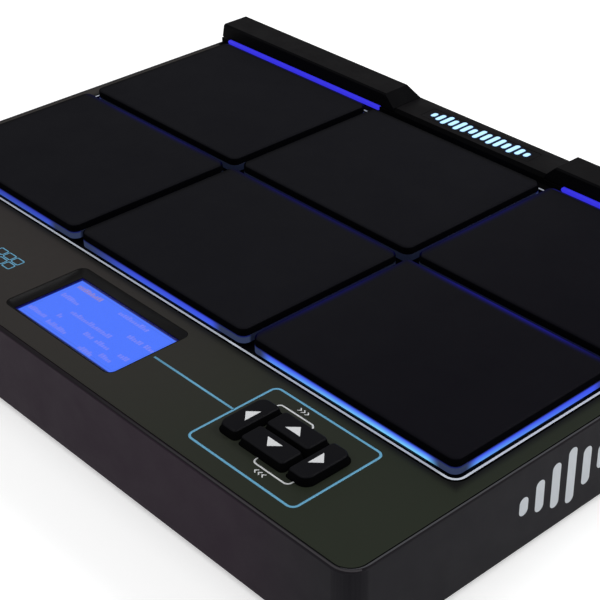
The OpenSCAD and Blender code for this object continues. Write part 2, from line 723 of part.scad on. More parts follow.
module key_switches() color("#26262a") for (k = keys) translate([k[1], k[2], board_top]) difference() {
    block(switch_w, switch_w, switch_h);
    translate([0, 0, switch_h - switch_bore_l]) cylinder(d = switch_bore_d, h = switch_bore_l + over);
}

// One key: cap with drafted top, retaining lip under the deck, and the stem into its switch
module cursor_key(k) color("#1b1b1e") translate([k[1], k[2], 0]) {
    translate([0, 0, key_lip_z]) key_slab(k, panel_z - key_lip_z, 0);
    hull($fn = hull_fn) {
        translate([0, 0, panel_z - skin]) key_slab(k, skin, 0);
        translate([0, 0, panel_z + key_proud - skin]) key_slab(k, skin, -key_draft);
    }
    translate([0, 0, key_lip_z])
        block(k[5][0] ? k[3] + 2 * (fit + key_lip) : k[3] - 2 * key_corner_r,
            k[5][1] ? k[4] + 2 * (fit + key_lip) : k[4] - 2 * key_corner_r, key_lip_t);
    stem_z = board_top + switch_h - stem_in;
    translate([0, 0, stem_z]) cylinder(d = stem_d, h = key_lip_z - stem_z + skin);
}

module main_board() color("#1f5a38") difference() {
    translate([0, main_y, main_z]) block(main_w, main_d, board_t);
    for (s = standoffs) translate([s[0], s[1], main_z - over]) cylinder(d = screw_hole_d, h = board_t + 2 * over);
}

module ribbon_cable() color("#8d9096") translate([lead_x, 0, 0]) {
    header_z = board_top - board_t - header_h;
    translate([0, lead_y0, header_z]) block(header_w, header_d, header_h);
    translate([0, lead_y1, main_top]) block(header_w, header_d, header_h);
    along_x(lead_w, [[lead_y0 - lead_t / 2, header_z + skin], [lead_y0 - lead_t / 2, lead_z],
        [lead_y1 - lead_t / 2, lead_z], [lead_y1 - lead_t / 2, main_top + header_h - skin],
        [lead_y1 + lead_t / 2, main_top + header_h - skin], [lead_y1 + lead_t / 2, lead_z + lead_t],
        [lead_y0 + lead_t / 2, lead_z + lead_t], [lead_y0 + lead_t / 2, header_z + skin]]);
}

// Socket: a body on the main board and a nose through the back wall, bored from its mouth
module round_socket(body_w, body_h, body_l, nose_d, nose_out, bore_d, bore_l) difference() {
    union() {
        translate([0, wall_y - body_l / 2, main_top]) block(body_w, body_l, body_h);
        translate([0, wall_y - body_l / 2, axis_z]) rod_y(nose_d, wall + nose_out + body_l / 2);
    }
    translate([0, y_back + nose_out - bore_l, axis_z]) rod_y(bore_d, bore_l + over);
}

module jack_sockets() color("#202024") for (x = jacks) translate([x, 0, 0])
    round_socket(jack_body_w, jack_body_h, jack_bore_l, jack_nose_d, jack_nose_out, jack_bore_d, jack_bore_l);

module jack_nuts() color("#b9bcc2") for (x = jacks) translate([x, y_back, axis_z]) difference() {
    rotate([-90, 0, 0]) cylinder(d = nut_d, h = nut_t, $fn = 6);
    translate([0, -over, 0]) rod_y(jack_nose_d, nut_t + 2 * over);
}

module aux_socket() color("#202024") translate([aux_x, 0, 0])
    round_socket(aux_w, aux_h, aux_bore_l, aux_nose_d, aux_nose_out, aux_bore_d, aux_bore_l);

module midi_socket() color("#202024") translate([midi_x, 0, 0]) difference() {
    union() {
        translate([0, wall_y - midi_l / 2, main_top]) block(midi_w, midi_l, midi_w);
        translate([0, wall_y - over, axis_z]) rod_y(midi_d, wall + over);
    }
    translate([0, y_back - midi_deep, axis_z]) {
        difference() {
            rod_y(midi_ring_d, midi_deep + over);
            rod_y(midi_core_d, midi_deep);
        }
        for (a = [0 : 45 : 180]) translate([midi_pin_r * cos(a), 0, -midi_pin_r * sin(a)])
            rod_y(midi_pin_d, midi_deep + over);
    }
}

module usb_socket() color("#a9acb2") translate([usb_x, 0, main_top]) {
    difference() {
        translate([0, y_back - usb_l / 2, 0]) block(usb_w, usb_l, usb_h);
        translate([0, y_back - usb_deep / 2 + over / 2, (usb_h - usb_mouth_h) / 2])
            block(usb_mouth_w, usb_deep + over, usb_mouth_h);
    }
    translate([0, y_back - usb_deep / 2 - over, (usb_h - usb_tongue_h) / 2])
        block(usb_tongue_w, usb_deep - over, usb_tongue_h);
}

module dc_inlet() color("#202024") translate([dc_x, 0, 0]) {
    round_socket(dc_w, dc_h, dc_l, dc_nose_d, 0, dc_bore_d, dc_deep);
    translate([0, y_back - dc_deep - skin, axis_z]) rod_y(dc_pin_d, dc_deep - over);
}

module card_socket() color("#a9acb2") translate([card_x, 0, main_top]) difference() {
    translate([0, y_back - card_l / 2, 0]) block(card_w, card_l, card_h);
    translate([0, y_back - card_l / 2 + over, (card_h - card_slot_h) / 2]) block(card_slot_w, card_l, card_slot_h);
}

module power_button() color("#1b1b1e") translate([power_x, 0, axis_z]) {
    lip_y = wall_y - power_gap - power_lip;
    translate([0, (lip_y + y_back + power_out) / 2, -power_h / 2])
        block(power_w, y_back + power_out - lip_y, power_h);
    translate([0, lip_y + power_lip / 2, -power_h / 2 - power_lip])
        block(power_w + 2 * power_lip, power_lip, power_h + 2 * power_lip);
    translate([0, power_switch_y - plunger_in, 0]) rod_y(plunger_d, lip_y - power_switch_y + plunger_in + skin);
}

module power_switch() color("#26262a") translate([power_x, 0, 0]) difference() {
    translate([0, power_switch_y - power_switch_l / 2, main_top]) block(power_switch_w, power_switch_l, power_switch_w);
    translate([0, power_switch_y - plunger_bore_l, axis_z]) rod_y(plunger_bore_d, plunger_bore_l + over);
}

module volume_pots() color("#8a8d92") for (x = [main_x, phones_x]) translate([x, 0, 0])
    round_socket(pot_w, pot_w, pot_body_d, pot_nose_d, pot_nose_out, shaft_d + 2 * shaft_clear, shaft_in + wall + pot_nose_out);

module dial_shaft() translate([0, wall_y - shaft_in + 0.3, axis_z])
    rod_y(shaft_d, shaft_in - 0.3 + wall + dial_gap + dial_h - 2);

// Dial with a stepped skirt, bored for its shaft
module dial() translate([0, y_back + dial_gap, axis_z]) difference() {
    union() {
        rod_y(dial_d, 2);
        rod_y(dial_d - 1.6, dial_h);
    }
    translate([0, -over, 0]) rod_y(shaft_d, dial_h - 2 + over);
}

module main_volume_shaft() color("#b9bcc2") translate([main_x, 0, 0]) dial_shaft();

module main_volume_knob() color("#1b1b1e") translate([main_x, 0, 0]) dial();

module phones_volume_shaft() color("#b9bcc2") translate([phones_x, 0, 0]) dial_shaft();

module phones_volume_knob() color("#1b1b1e") translate([phones_x, 0, 0]) dial();

top_cover();
control_panel();
bay_trim();
bottom_cover();
rubber_feet();
case_screws();
stand_inserts();
sensor_plate();
plate_screws();
for (p = pads) pad_rubber(p);
for (p = pads) pad_guide(p);
pad_foams();
piezo_discs();
led_boards();
bar_left();
bar_right();
bar_guides();
bar_foams();
emblem_lens();
lcd_bezel();
lcd_window();
lcd_module();
control_board();
board_screws();
key_switches();
for (k = keys) cursor_key(k);
main_board();
ribbon_cable();
jack_sockets();
jack_nuts();
aux_socket();
midi_socket();
usb_socket();
dc_inlet();
card_socket();
power_button();
power_switch();
volume_pots();
main_volume_shaft();
main_volume_knob();
phones_volume_shaft();
phones_volume_knob();
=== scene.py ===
import math
import random

import bmesh
import bpy
from mathutils import Matrix, Vector


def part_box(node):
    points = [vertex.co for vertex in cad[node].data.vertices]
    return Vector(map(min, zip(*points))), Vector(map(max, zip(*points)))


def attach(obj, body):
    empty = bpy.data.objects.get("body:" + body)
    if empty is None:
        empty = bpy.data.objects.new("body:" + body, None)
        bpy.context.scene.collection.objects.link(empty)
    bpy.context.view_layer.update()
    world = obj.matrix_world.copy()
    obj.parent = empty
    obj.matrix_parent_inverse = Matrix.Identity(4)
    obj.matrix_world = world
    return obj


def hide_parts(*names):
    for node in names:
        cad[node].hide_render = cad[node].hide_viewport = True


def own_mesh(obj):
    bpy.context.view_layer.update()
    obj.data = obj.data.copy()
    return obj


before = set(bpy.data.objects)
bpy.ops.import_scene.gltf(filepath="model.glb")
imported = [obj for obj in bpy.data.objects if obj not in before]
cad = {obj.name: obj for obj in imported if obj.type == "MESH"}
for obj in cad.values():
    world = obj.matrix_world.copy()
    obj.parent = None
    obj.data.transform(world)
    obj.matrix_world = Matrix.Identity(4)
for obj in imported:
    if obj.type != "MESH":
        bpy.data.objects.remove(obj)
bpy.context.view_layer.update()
scene = bpy.context.scene
mm = 0.001
mergeGap = 0.001 * mm
tiny = 0.01 * mm
up = Vector((0, 0, 1))
print("frame loaded:", len(cad), "nodes")


def middle(node):
    low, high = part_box(node)
    return (low + high) / 2


def metres(values):
    return [v * mm for v in values]


def at(x, y, z):
    return Matrix.Translation(Vector((x, y, z)))


# places read from the solids
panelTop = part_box("control_panel")[1].z
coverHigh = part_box("top_cover")[1]
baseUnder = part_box("bottom_cover")[0].z
displayMid = middle("lcd_module")
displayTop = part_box("lcd_module")[1].z
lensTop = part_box("emblem_lens")[1].z
trimLow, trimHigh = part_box("bay_trim")
padNames = [row + "_" + col for row in ("front", "rear") for col in ("left", "centre", "right")]
padMid = {n: middle("pad_" + n) for n in padNames}
padLow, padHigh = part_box("pad_front_left")
padSize = padHigh - padLow
bayMid = (padMid["front_centre"] + padMid["rear_centre"]) / 2
pitchX = padMid["front_right"].x - padMid["front_centre"].x
pitchY = padMid["rear_centre"].y - padMid["front_centre"].y
guideHeight = 3.3  # the guide's lit side under the rubber
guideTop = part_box("guide_front_left")[1].z
guideLow = guideTop - guideHeight * mm

# local x, y, z on the three printed sides: panel, back wall, right wall
onPanel = at(0, 0, panelTop)
onBack = Matrix(((-1, 0, 0, 0), (0, 0, 1, coverHigh.y), (0, 1, 0, 0), (0, 0, 0, 1)))
onRight = Matrix(((0, 0, 1, coverHigh.x), (1, 0, 0, 0), (0, 1, 0, 0), (0, 0, 0, 1)))


def backPlace(x, y, z):  # a point of the object, with local z out of the back wall
    return onBack @ at(-x, z, y - coverHigh.y)


screenCurve = {"foot": 10.3, "slope": 3294.6, "lift": 0.055, "power": 2.4}


def linear(shown):  # 0-255 as seen on screen, to the light a node takes
    if shown < screenCurve["foot"]:
        return shown / screenCurve["slope"]
    lift = screenCurve["lift"]
    return ((shown / 255 + lift) / (1 + lift)) ** screenCurve["power"]


def tone(rgb):
    return tuple(linear(c) for c in rgb) + (1,)


def scaled(colour, factor):
    return tuple(c * factor for c in colour[:3]) + (1,)


# node helpers

def newGroup(name):
    tree = bpy.data.node_groups.new(name, "ShaderNodeTree")
    tree.interface.new_socket(name="Vector", in_out="INPUT", socket_type="NodeSocketVector")
    for label in ("Grain Scale", "Patch Scale"):
        tree.interface.new_socket(name=label, in_out="INPUT", socket_type="NodeSocketFloat")
    for label in ("Height", "Patch", "Smudge"):
        tree.interface.new_socket(name=label, in_out="OUTPUT", socket_type="NodeSocketFloat")
    groupIn = tree.nodes.new("NodeGroupInput").outputs
    return tree, groupIn[0], groupIn[1], groupIn[2]


def addMath(tree, operation, a, b=None, c=None):
    node = tree.nodes.new("ShaderNodeMath")
    node.operation = operation
    for socket, value in zip(node.inputs, (a, b, c)):
        if isinstance(value, (int, float)):
            socket.default_value = value
        elif value is not None:
            tree.links.new(value, socket)
    return node.outputs[0]


def times(tree, a, b):
    return addMath(tree, "MULTIPLY", a, b)


def minus(tree, a, b):
    return addMath(tree, "SUBTRACT", a, b)


def unsigned(tree, a):
    return addMath(tree, "ABSOLUTE", a)


def larger(tree, a, b):
    return addMath(tree, "MAXIMUM", a, b)


def smaller(tree, a, b):
    return addMath(tree, "MINIMUM", a, b)


def addNoise(tree, vector, scale, detail=2.0, rough=0.5):
    node = tree.nodes.new("ShaderNodeTexNoise")
    node.inputs["Detail"].default_value = detail
    node.inputs["Roughness"].default_value = rough
    tree.links.new(vector, node.inputs["Vector"])
    if isinstance(scale, (int, float)):
        node.inputs["Scale"].default_value = scale
    else:
        tree.links.new(scale, node.inputs["Scale"])
    return node.outputs[0]


def addRange(tree, value, low, high, outLow=0.0, outHigh=1.0, smooth=False):
    node = tree.nodes.new("ShaderNodeMapRange")
    if smooth:
        node.interpolation_type = "SMOOTHSTEP"
    for socket, number in zip(list(node.inputs)[1:5], (low, high, outLow, outHigh)):
        socket.default_value = number
    tree.links.new(value, node.inputs[0])
    return node.outputs[0]


def mixTones(tree, factor, first, second):
    node = tree.nodes.new("ShaderNodeMix")
    node.data_type = "RGBA"
    tree.links.new(factor, node.inputs["Factor"])
    for socket, value in zip([s for s in node.inputs if s.type == "RGBA"], (first, second)):
        if isinstance(value, tuple):
            socket.default_value = value
        else:
            tree.links.new(value, socket)
    return [s for s in node.outputs if s.type == "RGBA"][0]


def splitPlace(tree, coords):
    split = tree.nodes.new("ShaderNodeSeparateXYZ")
    tree.links.new(coords, split.inputs[0])
    return split.outputs


def closeGroup(tree, place, patchScale, height, smudge, look):
    groupOut = tree.nodes.new("NodeGroupOutput").inputs
    tree.links.new(height, groupOut["Height"])
    tree.links.new(addNoise(tree, place, patchScale, *look["patch"]), groupOut["Patch"])
    tree.links.new(addRange(tree, smudge, *look["range"]), groupOut["Smudge"])


# moulded plastic: fine spark grain and slow patches (noise pairs are detail and roughness)
mouldLook = {"fine": (3.0, 0.65), "fineShare": 0.65, "coarseScale": 0.37, "coarse": (1.0, 0.5),
             "coarseShare": 0.35, "patch": (3.0, 0.5), "smearScale": 6.0, "smear": (5.0, 0.7),
             "range": (0.35, 0.7)}
mouldGrain, place, grainScale, patchScale = newGroup("mouldGrain")
fine = addNoise(mouldGrain, place, grainScale, *mouldLook["fine"])
coarseScale = times(mouldGrain, grainScale, mouldLook["coarseScale"])
coarse = addNoise(mouldGrain, place, coarseScale, *mouldLook["coarse"])
coarse = times(mouldGrain, coarse, mouldLook["coarseShare"])
height = addMath(mouldGrain, "MULTIPLY_ADD", fine, mouldLook["fineShare"], coarse)
smearScale = times(mouldGrain, patchScale, mouldLook["smearScale"])
smear = addNoise(mouldGrain, place, smearScale, *mouldLook["smear"])
closeGroup(mouldGrain, place, patchScale, height, smear, mouldLook)

# rubber: close-set dimples with a little random wear
skinLook = {"fineScale": 2.2, "fine": (2.0, 0.6), "fineShare": 0.4, "dimpleShare": 0.7, "patch": (4.0, 0.6),
            "scuffScale": 5.0, "scuff": (6.0, 0.75), "range": (0.4, 0.75)}
rubberSkin, place, grainScale, patchScale = newGroup("rubberSkin")
cells = rubberSkin.nodes.new("ShaderNodeTexVoronoi")
cells.feature = "SMOOTH_F1"
rubberSkin.links.new(place, cells.inputs["Vector"])
rubberSkin.links.new(grainScale, cells.inputs["Scale"])
fineScale = times(rubberSkin, grainScale, skinLook["fineScale"])
fine = addNoise(rubberSkin, place, fineScale, *skinLook["fine"])
dimple = times(rubberSkin, cells.outputs["Distance"], skinLook["dimpleShare"])
height = addMath(rubberSkin, "MULTIPLY_ADD", fine, skinLook["fineShare"], dimple)
scuffScale = times(rubberSkin, patchScale, skinLook["scuffScale"])
scuff = addNoise(rubberSkin, place, scuffScale, *skinLook["scuff"])
closeGroup(rubberSkin, place, patchScale, height, scuff, skinLook)

# metal: streaks along X with a fine tooth
brushLook = {"stretch": (0.04, 1, 1), "streak": (4.0, 0.6), "patch": (3.0, 0.5), "range": (0.3, 0.7)}
brushLines, place, grainScale, patchScale = newGroup("brushLines")
stretch = brushLines.nodes.new("ShaderNodeMapping")
stretch.inputs["Scale"].default_value = brushLook["stretch"]
brushLines.links.new(place, stretch.inputs["Vector"])
streak = addNoise(brushLines, stretch.outputs[0], grainScale, *brushLook["streak"])
closeGroup(brushLines, place, patchScale, streak, streak, brushLook)


# materials

def blankMaterial(name):
    material = bpy.data.materials.new(name)
    material.use_nodes = True
    tree = material.node_tree
    coords = tree.nodes.new("ShaderNodeTexCoord")
    return material, tree, tree.nodes["Principled BSDF"], coords.outputs["Object"]


def setSockets(shader, values):
    for label, value in values.items():
        shader.inputs[label].default_value = value


plainPatch = 14.0
coatRough = 0.1


def surface(name, skin, look):
    material, tree, shader, coords = blankMaterial(name)
    effect = tree.nodes.new("ShaderNodeGroup")
    effect.node_tree = skin
    setSockets(effect, {"Grain Scale": look["grain"], "Patch Scale": look.get("patch", plainPatch)})
    tree.links.new(coords, effect.inputs["Vector"])
    colour = mixTones(tree, effect.outputs["Patch"], tone(look["dark"]), tone(look["light"]))
    if "toneAndShadingDrift" in look:  # the colour drifts to another over these axes, from one place to another: painted light or shade, on the case front partly its own tone
        places = splitPlace(tree, coords)
        share = 1.0
        for axis, start, end in look["over"]:
            share = times(tree, addRange(tree, places[axis], start * mm, end * mm, smooth=True), share)
        colour = mixTones(tree, share, colour, tone(look["toneAndShadingDrift"]))
    tree.links.new(colour, shader.inputs["Base Color"])
    rough = addRange(tree, effect.outputs["Smudge"], 0, 1, *look["rough"])
    tree.links.new(rough, shader.inputs["Roughness"])
    bump = tree.nodes.new("ShaderNodeBump")
    setSockets(bump, {"Strength": look["bump"], "Distance": look["depth"] * mm})
    tree.links.new(effect.outputs["Height"], bump.inputs["Height"])
    tree.links.new(bump.outputs[0], shader.inputs["Normal"])
    setSockets(shader, {"Specular IOR Level": look["shine"], "Metallic": look.get("metal", 0.0),
                        "Coat Weight": look.get("coat", 0.0), "Coat Roughness": coatRough})
    return material


# grain scale, dark and light tone, roughness from and to, bump, its depth in mm, shine
lookKeys = ("grain", "dark", "light", "rough", "bump", "depth", "shine")
plasticLooks = {
    "caseBlack": (1700, (30, 29, 33), (33, 32, 36), (0.45, 0.56), 0.35, 0.06, 0.05),
    "baseBlack": (1500, (29, 29, 31), (34, 34, 36), (0.5, 0.6), 0.4, 0.08, 0.1),
    "rimShade": (2000, (27, 24, 28), (30, 27, 31), (0.5, 0.6), 0.2, 0.03, 0.05),
    "rimHighlight": (2400, (60, 60, 64), (66, 66, 70), (0.35, 0.45), 0.1, 0.02, 0.3),
    "frontHighlight": (2400, (31, 28, 31), (35, 32, 35), (0.4, 0.5), 0.1, 0.02, 0.05),
    "ridgeBlack": (1800, (11, 10, 12), (14, 13, 15), (0.45, 0.58), 0.3, 0.05, 0.07),
    "shadeBlack": (1800, (4, 4, 5), (7, 7, 8), (0.7, 0.8), 0.2, 0.03, 0.02),
    "panelCharcoal": (2600, (40, 37, 35), (45, 41, 39), (0.42, 0.52), 0.2, 0.03, 0.18),
    "barShade": (1800, (6, 6, 8), (8, 8, 10), (0.6, 0.7), 0.3, 0.05, 0.03),
    "barRubber": (1800, (10, 9, 11), (13, 12, 14), (0.5, 0.64), 0.3, 0.05, 0.08),
    "bezelBlack": (2600, (10, 9, 9), (14, 13, 13), (0.4, 0.5), 0.15, 0.03, 0.1),
    "plateBlack": (900, (4, 4, 6), (6, 6, 9), (0.5, 0.65), 0.2, 0.04, 0.06),
    "boardGreen": (1200, (20, 70, 44), (28, 88, 56), (0.3, 0.45), 0.2, 0.03, 0.5),
    "boardBlack": (1200, (14, 15, 18), (20, 21, 25), (0.35, 0.5), 0.2, 0.03, 0.5),
    "socketBlack": (2200, (20, 20, 22), (27, 27, 30), (0.38, 0.5), 0.15, 0.03, 0.3),
    "lensSmoke": (3000, (10, 10, 12), (13, 12, 15), (0.42, 0.54), 0.2, 0.03, 0.07),
    "labelGrey": (1600, (70, 70, 72), (80, 80, 83), (0.4, 0.5), 0.1, 0.02, 0.3),
    "inkWhite": (3000, (206, 208, 210), (220, 221, 223), (0.5, 0.6), 0.1, 0.01, 0.3),
    "inkBlue": (3000, (96, 160, 194), (106, 172, 206), (0.5, 0.6), 0.1, 0.01, 0.3),
    "inkGrey": (3000, (196, 202, 208), (208, 213, 218), (0.45, 0.55), 0.1, 0.01, 0.3),
}
rubberLooks = {
    "padRubber": (1500, (13, 13, 18), (18, 18, 23), (0.72, 0.86), 0.3, 0.05, 0.07),
    "padFlankShade": (1500, (3, 3, 6), (5, 5, 9), (0.8, 0.9), 0.3, 0.05, 0.02),
    "padBevelShade": (1500, (4, 4, 7), (6, 6, 10), (0.85, 0.95), 0.3, 0.05, 0.0),
    "keyBlack": (2400, (10, 10, 14), (13, 13, 17), (0.5, 0.62), 0.25, 0.03, 0.07),
    "keyShade": (2400, (3, 3, 4), (5, 5, 6), (0.7, 0.8), 0.25, 0.03, 0.03),
    "knobBlack": (2000, (27, 27, 30), (35, 35, 38), (0.6, 0.75), 0.3, 0.04, 0.25),
    "footRubber": (1100, (20, 20, 21), (28, 28, 29), (0.75, 0.9), 0.4, 0.08, 0.2),
    "foamGrey": (700, (62, 63, 66), (84, 85, 88), (0.9, 1.0), 0.8, 0.3, 0.1),
}
metalLooks = {
    "trimPale": (500, (198, 205, 218), (212, 218, 230), (0.3, 0.42), 0.1, 0.02, 0.5),
    "nickel": (900, (168, 170, 174), (198, 200, 204), (0.24, 0.38), 0.12, 0.02, 0.5),
    "blackSteel": (1200, (44, 44, 47), (66, 66, 70), (0.35, 0.5), 0.15, 0.02, 0.5),
    "brass": (1400, (176, 140, 78), (206, 172, 104), (0.28, 0.42), 0.12, 0.02, 0.5),
    "ribbonGrey": (700, (120, 122, 128), (150, 152, 158), (0.5, 0.6), 0.3, 0.1, 0.5),
}
# what only some of them have: a drift of the colour, painted light or shade, goes over (axis, from, to) in
# mm
lookExtras = {
    # case front: lighter and more purple in the middle of the front wall, fading toward the corners; partly
    # the wall's own purplish tone, partly painted reflection
    "caseBlack": {"toneAndShadingDrift": (43, 33, 43), "over": ((1, -95, -138), (0, 178, 110), (0, -178, -120))},
    # painted highlight on the front chamfer's upper band, brighter toward the right corner
    "frontHighlight": {"toneAndShadingDrift": (66, 64, 67), "over": ((0, 15, 140),)},
    # painted shade: the panel turns darker toward the right
    "panelCharcoal": {"toneAndShadingDrift": (32, 37, 27), "over": ((0, -40, 150),)},
    # painted shade: the pads turn darker and bluer toward the right
    "padRubber": {"patch": 7, "toneAndShadingDrift": (9, 8, 15), "over": ((0, 10, 150),)},
    "keyBlack": {"patch": 40},
    "knobBlack": {"patch": 40},
    "boardGreen": {"coat": 0.3},
    "nickel": {"metal": 1.0},
    "blackSteel": {"metal": 1.0},
    "brass": {"metal": 1.0},
}
finish = {}
for skin, looks in ((mouldGrain, plasticLooks), (rubberSkin, rubberLooks), (brushLines, metalLooks)):
    for name, values in looks.items():
        finish[name] = surface(name, skin, {**dict(zip(lookKeys, values)), **lookExtras.get(name, {})})

# lit pieces: glow, base tone, strength
litLooks = {
    "stripGlow": ((54, 50, 228), (24, 26, 60), 1.0),
    "markGlow": ((176, 232, 255), (110, 120, 130), 1.1),
    "haloGlow": ((22, 70, 150), (14, 18, 34), 0.7),
    "displayMark": ((112, 130, 251), (30, 30, 80), 1.0),
    "displayHead": ((140, 130, 214), (60, 40, 50), 1.0),
}
flickerLook = {"scale": 350.0, "glow": 0.86, "base": 1.15, "rough": 0.45}


def litSurface(name, glow, base, strength):
    material, tree, shader, coords = blankMaterial(name)
    flicker = addNoise(tree, coords, flickerLook["scale"])
    dimmed, raised = scaled(tone(glow), flickerLook["glow"]), scaled(tone(base), flickerLook["base"])
    tree.links.new(mixTones(tree, flicker, dimmed, tone(glow)), shader.inputs["Emission Color"])
    tree.links.new(mixTones(tree, flicker, tone(base), raised), shader.inputs["Base Color"])
    setSockets(shader, {"Emission Strength": strength, "Roughness": flickerLook["rough"]})
    return material


for name, values in litLooks.items():
    finish[name] = litSurface(name, *values)


def padPlace(tree, coords):  # x, row y, z, and the place within one pad
    x, y, z = splitPlace(tree, coords)
    across = addMath(tree, "WRAP", x, pitchX / 2, -pitchX / 2)
    rowY = minus(tree, y, bayMid.y)
    along = minus(tree, addMath(tree, "WRAP", rowY, pitchY, 0.0), pitchY / 2)
    return x, rowY, z, across, along


# frosted guide under the pads: lit along each side, unlit at the corners, paler low down at the right front
guideLook = {"corner": (5.0, 12.0), "right": (45.0, 60.0), "leftScale": 0.18, "leftStart": 4.5,
             "rightStart": (8.0, 2.0), "pale": (45.0, 125.0), "paleLeast": 0.1,
             "paleRise": (0.05, 0.75, 1.0, 0.1), "paleSide": (-70.0, -10.0, 0.5, 0.05),
             "lamps": (120.0, 1.0), "lampRange": (0.2, 0.8, 0.85, 1.1), "bright": (-110.0, 60.0),
             "padShadowRise": (0.72, 0.97), "outer": (-4.5, -3.0), "frostNoise": (900.0, 3.0), "strength": 1.0,
             "rough": 0.5, "shine": 0.2, "dim": (46, 56, 172), "violet": (58, 75, 234),
             "sky": (124, 210, 255), "unlit": (46, 56, 84), "rim": (10, 18, 84), "innerLit": (8, 9, 38),
             "innerUnlit": (14, 18, 32), "frost": ((20, 24, 40), (28, 34, 54))}


def makeGuideGlow(look):
    material, tree, shader, coords = blankMaterial("guideGlow")
    x, rowY, z, across, along = padPlace(tree, coords)
    # the light starts slowly from the left corner of each pad, and at once in the right column
    column = addRange(tree, x, *metres(look["right"]))
    leftX = addMath(tree, "MULTIPLY_ADD", addMath(tree, "ADD", across, padSize.x / 2),
                    addRange(tree, column, 0, 1, look["leftScale"], 1.0),
                    addRange(tree, column, 0, 1, look["leftStart"] * mm, 0.0))
    rightX = minus(tree, minus(tree, padSize.x / 2, across),
                   addRange(tree, column, 0, 1, *metres(look["rightStart"])))
    sideY = minus(tree, padSize.y / 2, unsigned(tree, along))
    reach = larger(tree, smaller(tree, leftX, rightX), sideY)
    lit = addRange(tree, reach, *metres(look["corner"]), smooth=True)
    outX = minus(tree, unsigned(tree, x), pitchX + padSize.x / 2)
    outY = minus(tree, unsigned(tree, rowY), pitchY / 2 + padSize.y / 2)
    rise = addRange(tree, z, guideLow, guideTop)
    onSide = addMath(tree, "GREATER_THAN", outX, outY)  # less pale toward the back
    low, high, front, back = look["paleSide"]
    sideLoss = minus(tree, addRange(tree, rowY, low * mm, high * mm, front, back), 1.0)
    pale = addRange(tree, x, *metres(look["pale"]), look["paleLeast"], 1.0)
    pale = times(tree, pale, addMath(tree, "MULTIPLY_ADD", onSide, sideLoss, 1.0))
    pale = times(tree, pale, addRange(tree, addNoise(tree, coords, *look["lamps"]), *look["lampRange"]))
    pale = times(tree, pale, addRange(tree, rise, *look["paleRise"]))
    bright = addRange(tree, x, *metres(look["bright"]))
    colour = mixTones(tree, bright, tone(look["dim"]), tone(look["violet"]))
    colour = mixTones(tree, pale, colour, tone(look["sky"]))
    colour = mixTones(tree, lit, tone(look["unlit"]), colour)
    # painted shadow of the rubber: the guide's glow turns navy toward its top
    colour = mixTones(tree, addRange(tree, rise, *look["padShadowRise"], smooth=True), colour, tone(look["rim"]))
    # the sides between pads only show a dim line, the outer sides show the lit band
    outer = addRange(tree, larger(tree, outX, outY), *metres(look["outer"]), smooth=True)
    inner = mixTones(tree, lit, tone(look["innerUnlit"]), tone(look["innerLit"]))
    tree.links.new(mixTones(tree, outer, inner, colour), shader.inputs["Emission Color"])
    frost = addNoise(tree, coords, *look["frostNoise"])
    tree.links.new(mixTones(tree, frost, *map(tone, look["frost"])), shader.inputs["Base Color"])
    setSockets(shader, {"Emission Strength": look["strength"], "Roughness": look["rough"],
                        "Specular IOR Level": look["shine"]})
    return material


def tintBase(material, share, colour):  # lays a tone over the base colour
    tree = material.node_tree
    base = tree.nodes["Principled BSDF"].inputs["Base Color"]
    tree.links.new(mixTones(tree, share, base.links[0].from_socket, tone(colour)), base)


def objectPlace(material):
    return material.node_tree.nodes["Texture Coordinate"].outputs["Object"]


# blue light from the guides on the pads' left and rear edges, over a shaded bevel
spillLook = {"colour": (19, 18, 111), "wide": (5.0, 0.6), "fall": 2.2, "deep": (2.2, 0.9),
             "corner": (5.0, 30.0, 0.3), "left": (-30.0, 30.0, 0.0, 0.36), "rear": (30.0, 110.0, 0.38, 1.1),
             "shade": (4.0, 0.8), "dark": (2, 2, 4), "strip": (2.2, 0.4), "stripFrom": 58.0}


def addSpill(material, look):
    tree = material.node_tree
    x, rowY, z, across, along = padPlace(tree, objectPlace(material))
    distance = {"left": addMath(tree, "ADD", across, padSize.x / 2),
                "rear": minus(tree, padSize.y / 2, along)}
    glow = {}
    for side in distance:
        near = addRange(tree, distance[side], *metres(look["wide"]), smooth=True)
        low, high, least, most = look[side]
        share = addRange(tree, x, low * mm, high * mm, least, most)
        glow[side] = times(tree, addMath(tree, "POWER", near, look["fall"]), share)
    frontRow = addMath(tree, "LESS_THAN", rowY, 0.0)
    rear = times(tree, glow["rear"], frontRow)
    # the rear row's far edge is lit by the strips
    strip = addRange(tree, distance["rear"], *metres(look["strip"]), smooth=True)
    beside = addMath(tree, "GREATER_THAN", unsigned(tree, x), look["stripFrom"] * mm)
    strip = times(tree, strip, times(tree, beside, minus(tree, 1.0, frontRow)))
    sideX = minus(tree, padSize.x / 2, unsigned(tree, across))
    sideY = minus(tree, padSize.y / 2, unsigned(tree, along))
    low, high, least = look["corner"]
    whole = addRange(tree, larger(tree, sideX, sideY), low * mm, high * mm, least, 1.0)
    upper = addRange(tree, z, *(padHigh.z - d * mm for d in look["deep"]))
    spill = times(tree, larger(tree, glow["left"], rear), whole)
    spill = times(tree, larger(tree, spill, strip), upper)
    shader = tree.nodes["Principled BSDF"]
    colour = mixTones(tree, spill, (0, 0, 0, 1), tone(look["colour"]))
    tree.links.new(colour, shader.inputs["Emission Color"])
    setSockets(shader, {"Emission Strength": 1.0})
    edge = smaller(tree, distance["left"], distance["rear"])
    tintBase(material, addRange(tree, edge, *metres(look["shade"]), smooth=True), look["dark"])


# soft shade on the panel beside the trim
shadeLook = {"reach": (4.5, 0.5), "dark": (8, 9, 8)}


